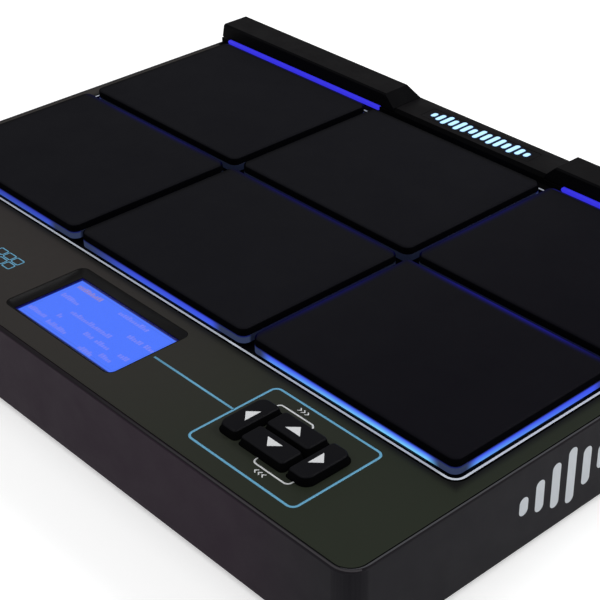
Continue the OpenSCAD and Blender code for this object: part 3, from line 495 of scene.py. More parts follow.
def addShade(material, look):
    tree = material.node_tree
    x, y, z = splitPlace(tree, objectPlace(material))
    outX = minus(tree, unsigned(tree, x), trimHigh.x)
    outY = minus(tree, trimLow.y, y)
    shade = addRange(tree, larger(tree, outX, outY), *metres(look["reach"]), smooth=True)
    tintBase(material, shade, look["dark"])


# display: blue backlight with a dark rim and a dot grid, and a faint frame line round the dots
displayLook = {"rim": (0.5, 1.3), "line": (2.3, 0.5), "lineFade": 0.75, "lineTone": 0.3, "viewW": 65.2,
               "viewD": 33.8, "dot": 0.48, "dotGap": 0.08, "dotTone": 0.86, "blue": (74, 119, 255),
               "navy": (12, 12, 84), "base": (16, 20, 50), "rough": 0.4}


def makeDisplayGlow(look):
    material, tree, shader, coords = blankMaterial("displayGlow")
    x, y, z = splitPlace(tree, coords)
    sideX = minus(tree, look["viewW"] / 2 * mm, unsigned(tree, minus(tree, x, displayMid.x)))
    sideY = minus(tree, look["viewD"] / 2 * mm, unsigned(tree, minus(tree, y, displayMid.y)))
    fromEdge = smaller(tree, sideX, sideY)
    inside = addRange(tree, fromEdge, *metres(look["rim"]), smooth=True)
    lineAt, lineWide = metres(look["line"])
    fromLine = unsigned(tree, minus(tree, fromEdge, lineAt))
    line = addRange(tree, fromLine, 0.0, lineWide / 2, look["lineFade"], 1.0, smooth=True)
    grid = tree.nodes.new("ShaderNodeTexBrick")
    grid.offset = 0
    setSockets(grid, {"Scale": 1 / (look["dot"] * mm), "Mortar Size": look["dotGap"], "Brick Width": 1.0,
                      "Row Height": 1.0})
    tree.links.new(coords, grid.inputs["Vector"])
    blue = tone(look["blue"])
    dots = mixTones(tree, grid.outputs["Fac"], blue, scaled(blue, look["dotTone"]))
    dots = mixTones(tree, line, scaled(blue, look["lineTone"]), dots)
    tree.links.new(mixTones(tree, inside, tone(look["navy"]), dots), shader.inputs["Emission Color"])
    setSockets(shader, {"Emission Strength": 1.0, "Base Color": tone(look["base"]),
                        "Roughness": look["rough"]})
    return material


windowLook = {"tint": (0.95, 0.97, 1, 1), "ior": 1.45, "smear": (90.0, 5.0, 0.7),
              "range": (0.4, 0.75, 0.02, 0.09)}


def makeWindowClear(look):
    material, tree, shader, coords = blankMaterial("windowClear")
    setSockets(shader, {"Base Color": look["tint"], "Transmission Weight": 1.0, "IOR": look["ior"]})
    smears = addNoise(tree, coords, *look["smear"])
    tree.links.new(addRange(tree, smears, *look["range"]), shader.inputs["Roughness"])
    return material


finish["guideGlow"] = makeGuideGlow(guideLook)
for name in ("padRubber", "padBevelShade"):
    addSpill(finish[name], spillLook)
addShade(finish["panelCharcoal"], shadeLook)
finish["displayGlow"] = makeDisplayGlow(displayLook)
finish["windowClear"] = makeWindowClear(windowLook)
print("finishes:", len(finish))


# mesh helpers

creaseAngle = 32  # degrees, edges sharper than this stay sharp
softSegments = 2


def addPiece(name, bm, material, body="case", replaces=None, slot=None, sharp=creaseAngle, bevel=None):
    mesh = bpy.data.meshes.new(name)
    bm.to_mesh(mesh)
    bm.free()
    piece = bpy.data.objects.new(name, mesh)
    scene.collection.objects.link(piece)
    mesh.materials.append(finish[material])
    mesh.shade_smooth()
    mesh.set_sharp_from_angle(angle=math.radians(sharp))
    if bevel:
        soften = piece.modifiers.new("soften", "BEVEL")
        soften.width = bevel * mm
        soften.segments = softSegments
        soften.limit_method = "ANGLE"
        soften.angle_limit = math.radians(sharp)
        soften.harden_normals = True
        soften.use_clamp_overlap = True
    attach(piece, body)
    if replaces:
        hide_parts(replaces)
    return piece


def roundEdges(bm, edges, radius, segments):
    bmesh.ops.bevel(bm, geom=edges, offset=radius, offset_type="OFFSET", segments=segments, profile=0.5,
                    affect="EDGES", clamp_overlap=True, material=-1)


upright, level = 0.9, 0.99  # how far an edge, or a face, has to point one way


def uprightEdges(bm):
    return [e for e in bm.edges if abs((e.verts[0].co - e.verts[1].co).normalized().z) > upright]


def facing(bm, direction):
    return [f for f in bm.faces if f.normal.dot(direction) > level]


def rimEdges(faces):
    return list(dict.fromkeys(e for f in faces for e in f.edges))


def newVerts(result):
    return [g for g in result["geom"] if isinstance(g, bmesh.types.BMVert)]


def softBlock(size, corner, top, cornerSegments=6, topSegments=4):  # stands on z = 0, centred in plan
    bm = bmesh.new()
    w, d, h = size
    bmesh.ops.create_cube(bm, size=1, matrix=at(0, 0, h / 2) @ Matrix.Diagonal((w, d, h, 1)))
    if corner:
        roundEdges(bm, uprightEdges(bm), corner, cornerSegments)
    bm.normal_update()
    if top:
        roundEdges(bm, rimEdges(facing(bm, up)), top, topSegments)
    return bm


def lathe(profile, steps):  # radius and height in mm, turned about z
    bm = bmesh.new()
    verts = [bm.verts.new((r * mm, 0, z * mm)) for r, z in profile]
    edges = [bm.edges.new(pair) for pair in zip(verts, verts[1:])]
    bmesh.ops.spin(bm, geom=verts + edges, cent=(0, 0, 0), axis=up, angle=math.tau, steps=steps,
                   use_merge=True)
    bmesh.ops.remove_doubles(bm, verts=bm.verts, dist=mergeGap)
    bmesh.ops.recalc_face_normals(bm, faces=bm.faces)
    return bm


def joinInto(target, part, place):
    part.transform(place)
    scratch = bpy.data.meshes.new("scratch")
    part.to_mesh(scratch)
    part.free()
    target.from_mesh(scratch)
    bpy.data.meshes.remove(scratch)


def gather(parts):  # one mesh of several, each with its place
    whole = bmesh.new()
    for part, place in parts:
        joinInto(whole, part, place)
    return whole


def mergedCopy(node):
    bm = bmesh.new()
    bm.from_mesh(cad[node].data)
    bmesh.ops.remove_doubles(bm, verts=bm.verts, dist=mergeGap)
    return bm


flatAngle = 1  # degrees, faces nearer than this are one


# the node's own shape with eased edges
def softCopy(node, name, material, width, slot, body="case", shape=None):
    bm = mergedCopy(node)
    bmesh.ops.dissolve_limit(bm, angle_limit=math.radians(flatAngle), verts=bm.verts, edges=bm.edges)
    bmesh.ops.recalc_face_normals(bm, faces=bm.faces)
    if shape:
        shape(bm)
    return addPiece(name, bm, material, body, node, slot, bevel=width)


def paintFaces(piece, material, test):
    piece.data.materials.append(finish[material])
    for face in piece.data.polygons:
        if test(face):
            face.material_index = len(piece.data.materials) - 1


def lumps(node):  # middle and size of each separate lump of a node, left to right
    bm = mergedCopy(node)
    waiting = set(bm.verts)
    found = []
    while waiting:
        lump = {waiting.pop()}
        front = list(lump)
        while front:
            near = [e.other_vert(v) for v in front for e in v.link_edges]
            front = [v for v in set(near) if v not in lump]
            lump.update(front)
        waiting -= lump
        low = Vector([min(v.co[i] for v in lump) for i in range(3)])
        high = Vector([max(v.co[i] for v in lump) for i in range(3)])
        found.append(((low + high) / 2, high - low))
    bm.free()
    return sorted(found, key=lambda box: tuple(round(c, 6) for c in box[0]))


inkHeight = 0.04  # prints stand this far off their surface
strokeSegments = 6


def strokeWall(points, rounding, closed):  # a low wall along the points, widened later
    bm = bmesh.new()
    verts = [bm.verts.new((x * mm, y * mm, 0)) for x, y in points]
    for pair in zip(verts, verts[1:] + (verts[:1] if closed else [])):
        bm.edges.new(pair)
    if rounding:
        turns = verts if closed else verts[1:-1]
        bmesh.ops.bevel(bm, geom=turns, offset=rounding * mm, offset_type="OFFSET", segments=strokeSegments,
                        profile=0.5, affect="VERTICES", clamp_overlap=True, material=-1)
    raised = newVerts(bmesh.ops.extrude_edge_only(bm, edges=list(bm.edges)))
    bmesh.ops.translate(bm, verts=raised, vec=(0, 0, inkHeight * mm))
    bmesh.ops.recalc_face_normals(bm, faces=bm.faces)
    return bm


def addStrokes(name, strokes, width, material, place, rounding=0.0, closed=False):
    walls = gather((strokeWall(points, rounding, closed), place) for points in strokes)
    thick = addPiece(name, walls, material).modifiers.new("width", "SOLIDIFY")
    thick.thickness = width * mm
    thick.offset = 0
    thick.use_even_offset = True


def rectangle(x, y, w, d):
    return [(x - w / 2, y - d / 2), (x + w / 2, y - d / 2), (x + w / 2, y + d / 2), (x - w / 2, y + d / 2)]


def arc(x, y, radius, start, end, steps):  # degrees, clockwise from the top
    angles = [math.radians(start + (end - start) * i / steps) for i in range(steps + 1)]
    return [(x + radius * math.sin(a), y + radius * math.cos(a)) for a in angles]


pillRound = 0.49  # corner radius as a share of the width


def addPills(name, pills, material, place, height):  # x, y, width, length in mm, round ends
    parts = [(softBlock(metres((w, d, height)), min(w, d) * pillRound * mm, 0),
              place @ at(x * mm, y * mm, 0)) for x, y, w, d in pills]
    addPiece(name, gather(parts), material)


def triangle(width, length, height):  # points along +y, stands on z = 0
    bm = bmesh.new()
    bmesh.ops.create_circle(bm, cap_ends=True, segments=3, radius=1)
    low, high = min(v.co.y for v in bm.verts), max(v.co.y for v in bm.verts)
    bmesh.ops.translate(bm, verts=bm.verts, vec=(0, -(low + high) / 2, 0))
    bm.transform(Matrix.Diagonal((width * mm / math.sqrt(3), length * mm / (high - low), 1, 1)))
    grown = newVerts(bmesh.ops.extrude_face_region(bm, geom=list(bm.faces)))
    bmesh.ops.translate(bm, verts=grown, vec=(0, 0, height * mm))
    bmesh.ops.recalc_face_normals(bm, faces=bm.faces)
    return bm


# camera at the photograph's viewing angle
cameraLook = {"place": (456.01, -407.305, 385.79), "azimuth": 48.22, "elevation": 32.12, "roll": -0.84,
              "lens": 96.77, "sensor": 36, "clip": (0.01, 100)}


def makeCamera(look):
    data = bpy.data.cameras.new("camera")
    data.sensor_width = look["sensor"]
    data.lens = look["lens"]
    data.clip_start, data.clip_end = look["clip"]
    camera = bpy.data.objects.new("camera", data)
    scene.collection.objects.link(camera)
    a, e, r = (math.radians(look[k]) for k in ("azimuth", "elevation", "roll"))
    forward = Vector((-math.sin(a) * math.cos(e), math.cos(a) * math.cos(e), -math.sin(e)))
    right = Vector((math.cos(a), math.sin(a), 0))
    over = right.cross(forward)
    right, over = right * math.cos(r) + over * math.sin(r), over * math.cos(r) - right * math.sin(r)
    turn = Matrix((right, over, -forward)).transposed().to_4x4()
    camera.matrix_world = at(*metres(look["place"])) @ turn
    scene.camera = camera


makeCamera(cameraLook)
print("camera placed")


# parts of a face's normal that count as sloped, as turned, as flat
sloped, turned, flat = 0.3, 0.5, 0.95

# rubber pads on their lit guides, foam below
padLook = {"edge": 1.3, "edgeSegments": 6, "corner": 3.6, "cornerSegments": 9, "guideEdge": 0.12,
           "bevelTop": 0.97, "bevelSide": 0.2}


def onLitBevel(f):  # the bevel on the left and at the rear, painted darker as shade under the painted blue spill
    side = padLook["bevelSide"]
    return turned <= f.normal.z < padLook["bevelTop"] and (f.normal.x < -side or f.normal.y > side)


for n in padNames:
    bm = softBlock(padSize, padLook["corner"] * mm, padLook["edge"] * mm,
                   padLook["cornerSegments"], padLook["edgeSegments"])
    bm.transform(at(padMid[n].x, padMid[n].y, padLow.z))
    pad = addPiece("padSkin_" + n, bm, "padRubber", "pad_body_" + n, "pad_" + n, "pad_rubber")
    # the pads' sides are painted near-black as shade
    paintFaces(pad, "padFlankShade", lambda f: abs(f.normal.z) < turned)
    paintFaces(pad, "padBevelShade", onLitBevel)
    softCopy("guide_" + n, "guideTray_" + n, "guideGlow", padLook["guideEdge"], "guide", "pad_body_" + n)
print("pads:", len(padNames))

foamLook = {"edge": 0.5, "corner": 1.5, "padTravel": 0.8, "barTravel": 0.5}


def addFoam(name, node, mid, size, travel):  # a rounded block standing on the lump's foot
    foot = Vector((mid.x, mid.y, mid.z - size.z / 2))
    bm = softBlock(size, foamLook["corner"] * mm, foamLook["edge"] * mm)
    bm.transform(at(*foot))
    foam = addPiece(name, bm, "foamGrey", "case", node, "foam")
    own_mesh(foam)


for mid, size in lumps("pad_foams"):
    n = min(padNames, key=lambda p: (padMid[p] - mid).xy.length)
    addFoam("padSpring_" + n, "pad_foams", mid, size, foamLook["padTravel"])
for side, (mid, size) in zip(("left", "right"), lumps("bar_foams")):
    addFoam("barSpring_" + side, "bar_foams", mid, size, foamLook["barTravel"])
print("foams done")


# case, panel, trim
caseLook = {"shellEdge": 0.12, "panelEdge": 0.08, "trimEdge": 0.05, "baseEdge": 0.25, "bezelEdge": 0.3,
            "barEdge": 0.6, "lensEdge": 0.1, "rimDepth": 0.9, "frontHighlight": (0.12, 0.6), "rimTurn": 6.0,
            "ridgeBevel": 1.6, "ridgeFrom": 0.1, "groove": 0.6, "sideGroove": 0.3, "grooveAngle": 1.0}
rimLow = panelTop - caseLook["rimDepth"] * mm
highlightHigh, highlightLow = (panelTop - d * mm for d in caseLook["frontHighlight"])
rimSide = coverHigh.x - caseLook["rimTurn"] * mm
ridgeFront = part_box("bar_guides")[0].y
ridgeLow = panelTop + caseLook["ridgeFrom"] * mm


def cutFaces(bm, faces, place, direction):
    verts = list(dict.fromkeys(v for f in faces for v in f.verts))
    geom = faces + rimEdges(faces) + verts
    bmesh.ops.bisect_plane(bm, geom=geom, dist=tiny, plane_co=place, plane_no=direction)


def onFront(normal):
    return sloped < normal.z < flat and normal.y < -sloped


def shapeShell(bm):  # bevels the ridge's front edge, parts the front chamfer and the rim for their painted highlights and shade
    ridge = [e for e in bm.edges
             if all(abs(v.co.z - lensTop) < tiny and abs(v.co.y - ridgeFront) < tiny for v in e.verts)]
    roundEdges(bm, ridge, caseLook["ridgeBevel"] * mm, 1)
    bm.normal_update()
    for x in (-rimSide, rimSide):
        rim = [f for f in facing(bm, up) if abs(f.calc_center_median().z - panelTop) < tiny]
        cutFaces(bm, rim, (x, 0, 0), (1, 0, 0))
    for z in (highlightHigh, highlightLow, rimLow):
        chamfer = [f for f in bm.faces if onFront(f.normal) and f.calc_center_median().z < panelTop]
        cutFaces(bm, chamfer, (0, 0, z), up)


def onRim(f):
    return f.normal.z > flat and abs(f.center.z - panelTop) < tiny and abs(f.center.x) > rimSide


shell = softCopy("top_cover", "caseShell", "caseBlack", caseLook["shellEdge"], "case_plastic",
                 shape=shapeShell)
# painted shade on the rim chamfers, below the highlight
paintFaces(shell, "rimShade", lambda f: rimLow < f.center.z < panelTop and sloped < f.normal.z < flat)
# a painted highlight along the flat of the side rims
paintFaces(shell, "rimHighlight", onRim)
# the upper band of the front chamfer carries a painted highlight
paintFaces(shell, "frontHighlight", lambda f: highlightLow < f.center.z < highlightHigh and onFront(f.normal))
paintFaces(shell, "ridgeBlack", lambda f: f.center.z > ridgeLow)
# the ridge's front faces and front chamfer are painted near-black as shade
paintFaces(shell, "shadeBlack", lambda f: f.center.z > ridgeLow and f.normal.y < -turned)


def besideTrim(point):
    reach = caseLook["groove"] * mm
    return all(trimLow[i] - reach < point[i] < trimHigh[i] + reach for i in (0, 1))


def cutGroove(bm):  # narrow chamfered grooves round the trim and at the side rims, for painted shade, and a cut behind the bay for a painted shadow
    sharp = [e for e in bm.edges if not e.is_boundary and e.calc_face_angle() > caseLook["grooveAngle"]]
    top = [e for e in sharp if all(abs(v.co.z - panelTop) < tiny for v in e.verts)]
    sides = [e for e in top if all(abs(v.co.x) > rimSide for v in e.verts)]
    roundEdges(bm, [e for e in top if all(besideTrim(v.co) for v in e.verts)], caseLook["groove"] * mm, 1)
    roundEdges(bm, [e for e in sides if e.is_valid], caseLook["sideGroove"] * mm, 1)
    cutFaces(bm, list(bm.faces), (0, trimHigh.y, 0), (0, 1, 0))


panel = softCopy("control_panel", "panelSheet", "panelCharcoal", caseLook["panelEdge"], "panel_face",
                 shape=cutGroove)
# painted shade on the grooves and the panel's sides, painted shadow on the strip behind the bay
paintFaces(panel, "shadeBlack", lambda f: abs(f.normal.z) < flat or f.center.y > trimHigh.y)
trim = softCopy("bay_trim", "trimLine", "trimPale", caseLook["trimEdge"], "trim")
# the trim's side walls and its eased edges are painted near-black as shade in the gap round it
paintFaces(trim, "shadeBlack", lambda f: abs(f.normal.z) < turned)
trim.modifiers["soften"].material = 1
softCopy("bottom_cover", "baseCover", "baseBlack", caseLook["baseEdge"], "case_plastic")
softCopy("lcd_bezel", "displayFrame", "bezelBlack", caseLook["bezelEdge"], "bezel")
softCopy("emblem_lens", "ridgeLens", "lensSmoke", caseLook["lensEdge"], "emblem")
for side in ("left", "right"):
    bar = softCopy("bar_" + side, "triggerBar_" + side, "barRubber", caseLook["barEdge"], "bar_rubber",
                   "bar_body_" + side)
    paintFaces(bar, "barShade", lambda f: abs(f.normal.x) > turned or f.normal.y < -turned)
print("case pieces done")


# lit strips at the foot of the trigger bars, with round inner ends
stripLook = {"end": 1.3, "edge": 0.25}
layDown = Matrix.Rotation(math.radians(90), 4, "X")
strips = [(softBlock((size.x, size.z, size.y), stripLook["end"] * mm, stripLook["edge"] * mm),
           at(mid.x, mid.y + size.y / 2, mid.z) @ layDown) for mid, size in lumps("bar_guides")]
addPiece("litStrips", gather(strips), "stripGlow", "case", "bar_guides", "guide")


# lit level bars in the window on the ridge
levelLook = {"pitch": 4.2, "wide": 2.5, "halo": 0.7, "haloHeight": 0.02, "barHeight": 0.05,
             "lengths": (4, 6.5, 9, 6.5, 9.3, 8, 5.5, 9.3, 7.5, 9.3, 8.5, 6, 9, 6.5, 4)}
levels, halo = levelLook["lengths"], levelLook["halo"]
bars = [((i - (len(levels) - 1) / 2) * levelLook["pitch"], 0, levelLook["wide"], d)
        for i, d in enumerate(levels)]
onLens = at(0, middle("emblem_lens").y, lensTop)
addPills("levelHalo", [(x, y, w + halo, d + halo) for x, y, w, d in bars], "haloGlow", onLens,
         levelLook["haloHeight"])
addPills("levelBars", bars, "markGlow", onLens, levelLook["barHeight"])
print("ridge lights done")


# prints on the panel: the box and its lead, brackets, and steps back and forth of three chevrons each
printLook = {"blueWidth": 1.0, "whiteWidth": 0.7, "boxMid": (112.85, -109.15), "boxSize": (56.5, 43.1),
             "boxCorner": 2.8, "leadY": -108.45, "leadX": (37.5, 84.4), "bracketCorner": 1.6,
             "brackets": [[(93.6, -96.0), (93.6, -93.9), (112.1, -93.9), (112.6, -95.6)],
                          [(112.1, -120.8), (112.4, -123.5), (130.2, -123.5), (130.7, -120.6)]],
             "stepsAt": ((100.6, -90.9, 1), (121.4, -126.0, -1)), "stepPitch": 1.9,
             "chevron": ((0, -1.0), (1.1, 0), (0, 1.0)), "stepWidth": 0.45}
box = rectangle(*printLook["boxMid"], *printLook["boxSize"])
addStrokes("printBox", [box], printLook["blueWidth"], "inkBlue", onPanel, printLook["boxCorner"], True)
lead = [(x, printLook["leadY"]) for x in printLook["leadX"]]
addStrokes("printLead", [lead], printLook["blueWidth"], "inkBlue", onPanel)
addStrokes("printBrackets", printLook["brackets"], printLook["whiteWidth"], "inkWhite", onPanel,
           printLook["bracketCorner"])
steps = [[(x + way * (i * printLook["stepPitch"] + dx), y + dy) for dx, dy in printLook["chevron"]]
         for x, y, way in printLook["stepsAt"] for i in range(3)]
addStrokes("printSteps", steps, printLook["stepWidth"], "inkWhite", onPanel)

# a small pad layout left of the display
padGrid = {"x": -58.6, "y": -108.8, "cell": (5.0, 3.7), "gap": 0.9, "line": 0.55, "corner": 0.7}
stepX, stepY = (c + padGrid["gap"] for c in padGrid["cell"])
cells = [rectangle(padGrid["x"] - i * stepX, padGrid["y"] + j * stepY / 2, *padGrid["cell"])
         for i in range(3) for j in (-1, 1)]
addStrokes("printPadLayout", cells, padGrid["line"], "inkBlue", onPanel, padGrid["corner"], True)

# a level motif on the right wall
sideLook = {"from": -56.0, "pitch": 8.6, "wide": 4.6, "middle": 22.2,
            "lengths": (8, 14, 20, 25, 17, 11, 19, 24, 15, 9, 16, 12, 7)}
sideBars = [(sideLook["from"] + i * sideLook["pitch"], sideLook["middle"], sideLook["wide"], d)
            for i, d in enumerate(sideLook["lengths"])]
addPills("printSideLevels", sideBars, "inkGrey", onRight, inkHeight / 2)
print("prints done")


# display content: runs of small blocks in a few rows, each from x to x at y
screenLook = {"pitch": 1.45, "wide": 1.1, "tall": 2.5, "height": 0.03, "corner": 0.2, "cornerSegments": 2,
              "shares": (0.62, 1.0, 1.0, 0.8),
              "header": [(-29.6, -14.3, -96.0)],
              "runs": [(-1.6, 17.0, -95.9), (-29.4, -17.9, -104.4), (14.4, 22.7, -103.7),
                       (24.6, 30.0, -103.4), (-15.5, 10.8, -109.6), (-17.7, -14.3, -114.8),
                       (0.7, 6.8, -115.0), (8.3, 17.0, -115.0), (22.5, 28.4, -114.4),
                       (-31.0, -19.0, -119.4), (-17.0, -4.3, -120.6), (7.2, 15.5, -122.4),
                       (17.2, 24.0, -119.6)]}
random.seed(11)


def screenBlocks(rows, look):
    for x0, x1, y in rows:
        for i in range(round((x1 - x0) / look["pitch"])):
            tall = look["tall"] * random.choice(look["shares"])
            size = metres((look["wide"], tall, look["height"]))
            block = softBlock(size, look["corner"] * mm, 0, look["cornerSegments"])
            x, low = metres((x0 + (i + 0.5) * look["pitch"], y - (look["tall"] - tall) / 2))
            yield block, at(x, low, displayTop)


addPiece("screenHeader", gather(screenBlocks(screenLook["header"], screenLook)), "displayHead")
addPiece("screenRuns", gather(screenBlocks(screenLook["runs"], screenLook)), "displayMark")
print("display done")


# cursor keys
keyLook = {"length": 23.2, "midWidth": 23.4, "draft": 0.8, "edge": 0.85, "edgeSegments": 5,
           "outerCorner": 4.0, "outerSegments": 8, "innerCorner": 1.6, "innerSegments": 6, "depth": 4.0,
           "mark": (7.8, 4.0, 0.03)}
keyTurn = {"left": 90, "right": -90, "up": 0, "down": 180}
for n, turn in keyTurn.items():
    low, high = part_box("key_" + n)
    mid = (low + high) / 2
    outer = {"left": -1, "right": 1}.get(n, 0)
    w = high.x - low.x if outer else keyLook["midWidth"] * mm
    d = keyLook["length"] * mm if outer else high.y - low.y
    bm = softBlock((w, d, keyLook["depth"] * mm), 0, 0)
    outside = [e for e in uprightEdges(bm) if e.verts[0].co.x * outer > 0]
    inside = [e for e in uprightEdges(bm) if e.verts[0].co.x * outer <= 0]
    roundEdges(bm, inside, keyLook["innerCorner"] * mm, keyLook["innerSegments"])
    if outside:
        kept = [e for e in outside if e.is_valid]
        roundEdges(bm, kept, keyLook["outerCorner"] * mm, keyLook["outerSegments"])
    bm.normal_update()
    rise = newVerts(bmesh.ops.extrude_face_region(bm, geom=facing(bm, up)))
    draft = 2 * keyLook["draft"] * mm
    bmesh.ops.scale(bm, verts=rise, vec=((w - draft) / w, (d - draft) / d, 1))
    bmesh.ops.translate(bm, verts=rise, vec=(0, 0, high.z - panelTop))
    bm.normal_update()
    crown = [f for f in facing(bm, up) if f.verts[0] in rise]
    roundEdges(bm, rimEdges(crown), keyLook["edge"] * mm, keyLook["edgeSegments"])
    bm.transform(at(mid.x, mid.y, panelTop - keyLook["depth"] * mm))
    cap = addPiece("keyCap_" + n, bm, "keyBlack", "key_body_" + n, "key_" + n, "key")
    paintFaces(cap, "keyShade", lambda f: f.normal.z < turned)
    bm = triangle(*keyLook["mark"])
    bm.transform(at(mid.x, mid.y, high.z) @ Matrix.Rotation(math.radians(turn), 4, "Z"))
    addPiece("keyMark_" + n, bm, "inkWhite", "key_body_" + n)
print("keys:", len(keyTurn))


# level dials on the back wall: fluted cap on a skirt, white pointer, tick scale
dialLook = {"skirt": 7.0, "skirtHeight": 2.0, "skirtFoot": 0.3, "skirtTop": 0.4, "skirtSteps": 72,
            "cap": 6.2, "capTaper": 0.965, "flutes": 18, "fluteSteps": 8, "fluteDepth": 0.32, "edge": 0.6,
            "edgeSegments": 4, "lip": 0.5, "dishSide": 0.4, "dish": 0.35, "pointer": (0.9, 3.6),
            "pointerInset": 1.6, "pointerCorner": 0.3, "pointerEdge": 0.1, "pointerSink": 0.05,
            "tickFrom": 8.6, "tickTo": 10.0, "sweep": 150, "ticks": 11, "tickWidth": 0.35}
dials = {"mainDial": ("main_volume_knob", "main_volume"),
         "phonesDial": ("phones_volume_knob", "phones_volume")}


def flutedCap(look, tall):
    bm = bmesh.new()
    segments = look["flutes"] * look["fluteSteps"]
    bmesh.ops.create_circle(bm, cap_ends=True, segments=segments, radius=look["cap"] * mm)
    for v in bm.verts:
        wave = 0.5 - 0.5 * math.cos(look["flutes"] * math.atan2(v.co.y, v.co.x))
        v.co *= 1 - look["fluteDepth"] / look["cap"] * wave ** 2
    bmesh.ops.recalc_face_normals(bm, faces=bm.faces)
    top = newVerts(bmesh.ops.extrude_face_region(bm, geom=list(bm.faces)))
    bmesh.ops.translate(bm, verts=top, vec=(0, 0, tall * mm))
    bmesh.ops.scale(bm, verts=top, vec=(look["capTaper"], look["capTaper"], 1))
    bmesh.ops.recalc_face_normals(bm, faces=bm.faces)
    roundEdges(bm, rimEdges(facing(bm, up)), look["edge"] * mm, look["edgeSegments"])
    bm.normal_update()
    lid = facing(bm, up)
    bmesh.ops.inset_region(bm, faces=lid, thickness=look["lip"] * mm, depth=0)
    bmesh.ops.inset_region(bm, faces=lid, thickness=look["dishSide"] * mm, depth=-look["dish"] * mm)
    return bm


def dialPoint(node, radius, angle):  # on the back wall, in mm
    mid = middle(node)
    return arc(-mid.x / mm, mid.z / mm, radius, angle, angle, 1)[0]


def makeDial(name, node, body, look):
    low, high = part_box(node)
    mid, h = (low + high) / 2, (high.y - low.y) / mm
    place = backPlace(mid.x, low.y, mid.z)
    s, t = look["skirt"], look["skirtHeight"]
    foot, top = look["skirtFoot"], look["skirtTop"]
    whole = lathe([(0, 0), (s - foot, 0), (s, foot), (s, t - top), (s - top, t), (0, t)], look["skirtSteps"])
    joinInto(whole, flutedCap(look, h - t), at(0, 0, t * mm))
    whole.transform(place)
    addPiece(name, whole, "knobBlack", body, node, "knob")
    wide, length = look["pointer"]
    size = metres((wide, length, look["dish"]))
    bm = softBlock(size, look["pointerCorner"] * mm, look["pointerEdge"] * mm)
    out = look["cap"] - look["pointerInset"] - length / 2
    bm.transform(place @ at(0, out * mm, (h - look["dish"] - look["pointerSink"]) * mm))
    addPiece(name + "Pointer", bm, "inkWhite", body)
    angles = [look["sweep"] * (2 * i / (look["ticks"] - 1) - 1) for i in range(look["ticks"])]
    return [[dialPoint(node, r, a) for r in (look["tickFrom"], look["tickTo"])] for a in angles]


ticks = []
for name, (node, body) in dials.items():
    ticks += makeDial(name, node, body, dialLook)
addStrokes("dialTicks", ticks, dialLook["tickWidth"], "inkWhite", onBack)

numberLook = {"size": 2.6, "radius": 12.2, "words": ((-150, "0"), (150, "10"))}


def written(word, size, height):
    curve = bpy.data.curves.new("number", "FONT")
    curve.body = word
    curve.size = size * mm
    curve.align_x = "CENTER"
    curve.align_y = "CENTER"
    curve.extrude = height / 2 * mm
    holder = bpy.data.objects.new("number", curve)
    mesh = bpy.data.meshes.new_from_object(holder)
    bm = bmesh.new()
    bm.from_mesh(mesh)
    bpy.data.objects.remove(holder)
    bpy.data.curves.remove(curve)
    bpy.data.meshes.remove(mesh)
    return bm


numberParts = []
for node, body in dials.values():
    for angle, word in numberLook["words"]:
        x, y = metres(dialPoint(node, numberLook["radius"], angle))
        number = written(word, numberLook["size"], inkHeight)
        numberParts.append((number, onBack @ at(x, y, inkHeight / 2 * mm)))
numbers = gather(numberParts)
bmesh.ops.remove_doubles(numbers, verts=numbers.verts, dist=mergeGap)
addPiece("dialNumbers", numbers, "inkWhite")
print("dials done")


# sockets: the solids' own shapes with eased mouths, metal contacts set in them
socketLook = {"jack_sockets": ("jackRow", "socketBlack", 0.3, "socket_plastic"),
              "jack_nuts": ("jackNuts", "nickel", 0.35, "socket_shell"),
              "aux_socket": ("auxSocket", "socketBlack", 0.2, "socket_plastic"),
              "midi_socket": ("roundSocket", "socketBlack", 0.2, "socket_plastic"),
              "usb_socket": ("squareSocket", "nickel", 0.2, "socket_shell"),
              "dc_inlet": ("powerInlet", "socketBlack", 0.25, "socket_plastic"),
              "card_socket": ("cardSlot", "nickel", 0.15, "socket_shell"),
              "power_button": ("powerCap", "keyBlack", 0.6, "key", "power_body")}
for node, values in socketLook.items():
    softCopy(node, *values)

# rings are inner and outer radius and depth, blades are the square socket's contacts
contactLook = {"jackRing": (3.25, 4.05, 2.0), "auxRing": (1.85, 2.4, 1.2), "shield": (6.75, 7.25, 1.0),
               "ringEase": (0.15, 0.1), "ringProud": 0.12, "ringSteps": 40, "pinSteps": 24,
               "pin": [(0, -9.5), (1.06, -9.5), (1.06, -1.3), (0.76, -0.9), (0, -0.9)],
               "blade": (1.0, 6.0, 0.12), "bladeCorner": 0.2, "bladeAt": (1.5, -5.5, 1.6)}
axisZ = middle("main_volume_knob").z
jackAt = [mid.x for mid, size in lumps("jack_nuts")]
inletX = middle("dc_inlet").x


def ringSet(name, node, places, ring, look):
    inner, outer, deep = look[ring]
    easeIn, easeOut = look["ringEase"]
    proud = look["ringProud"]
    shape = [(inner, -deep), (inner, 0), (inner + easeIn, proud), (outer - easeOut, proud), (outer, 0),
             (outer, -deep), (inner, -deep)]
    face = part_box(node)[1].y
    rings = gather((lathe(shape, look["ringSteps"]), backPlace(x, face, axisZ)) for x in places)
    addPiece(name, rings, "nickel", "case", None, "socket_shell")


ringSet("jackSleeves", "jack_sockets", jackAt, "jackRing", contactLook)
ringSet("auxSleeve", "aux_socket", [middle("aux_socket").x], "auxRing", contactLook)
ringSet("roundSocketShield", "midi_socket", [middle("midi_socket").x], "shield", contactLook)
bm = lathe(contactLook["pin"], contactLook["pinSteps"])
bm.transform(backPlace(inletX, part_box("dc_inlet")[1].y, axisZ))
addPiece("inletPin", bm, "nickel", "case", None, "socket_shell")


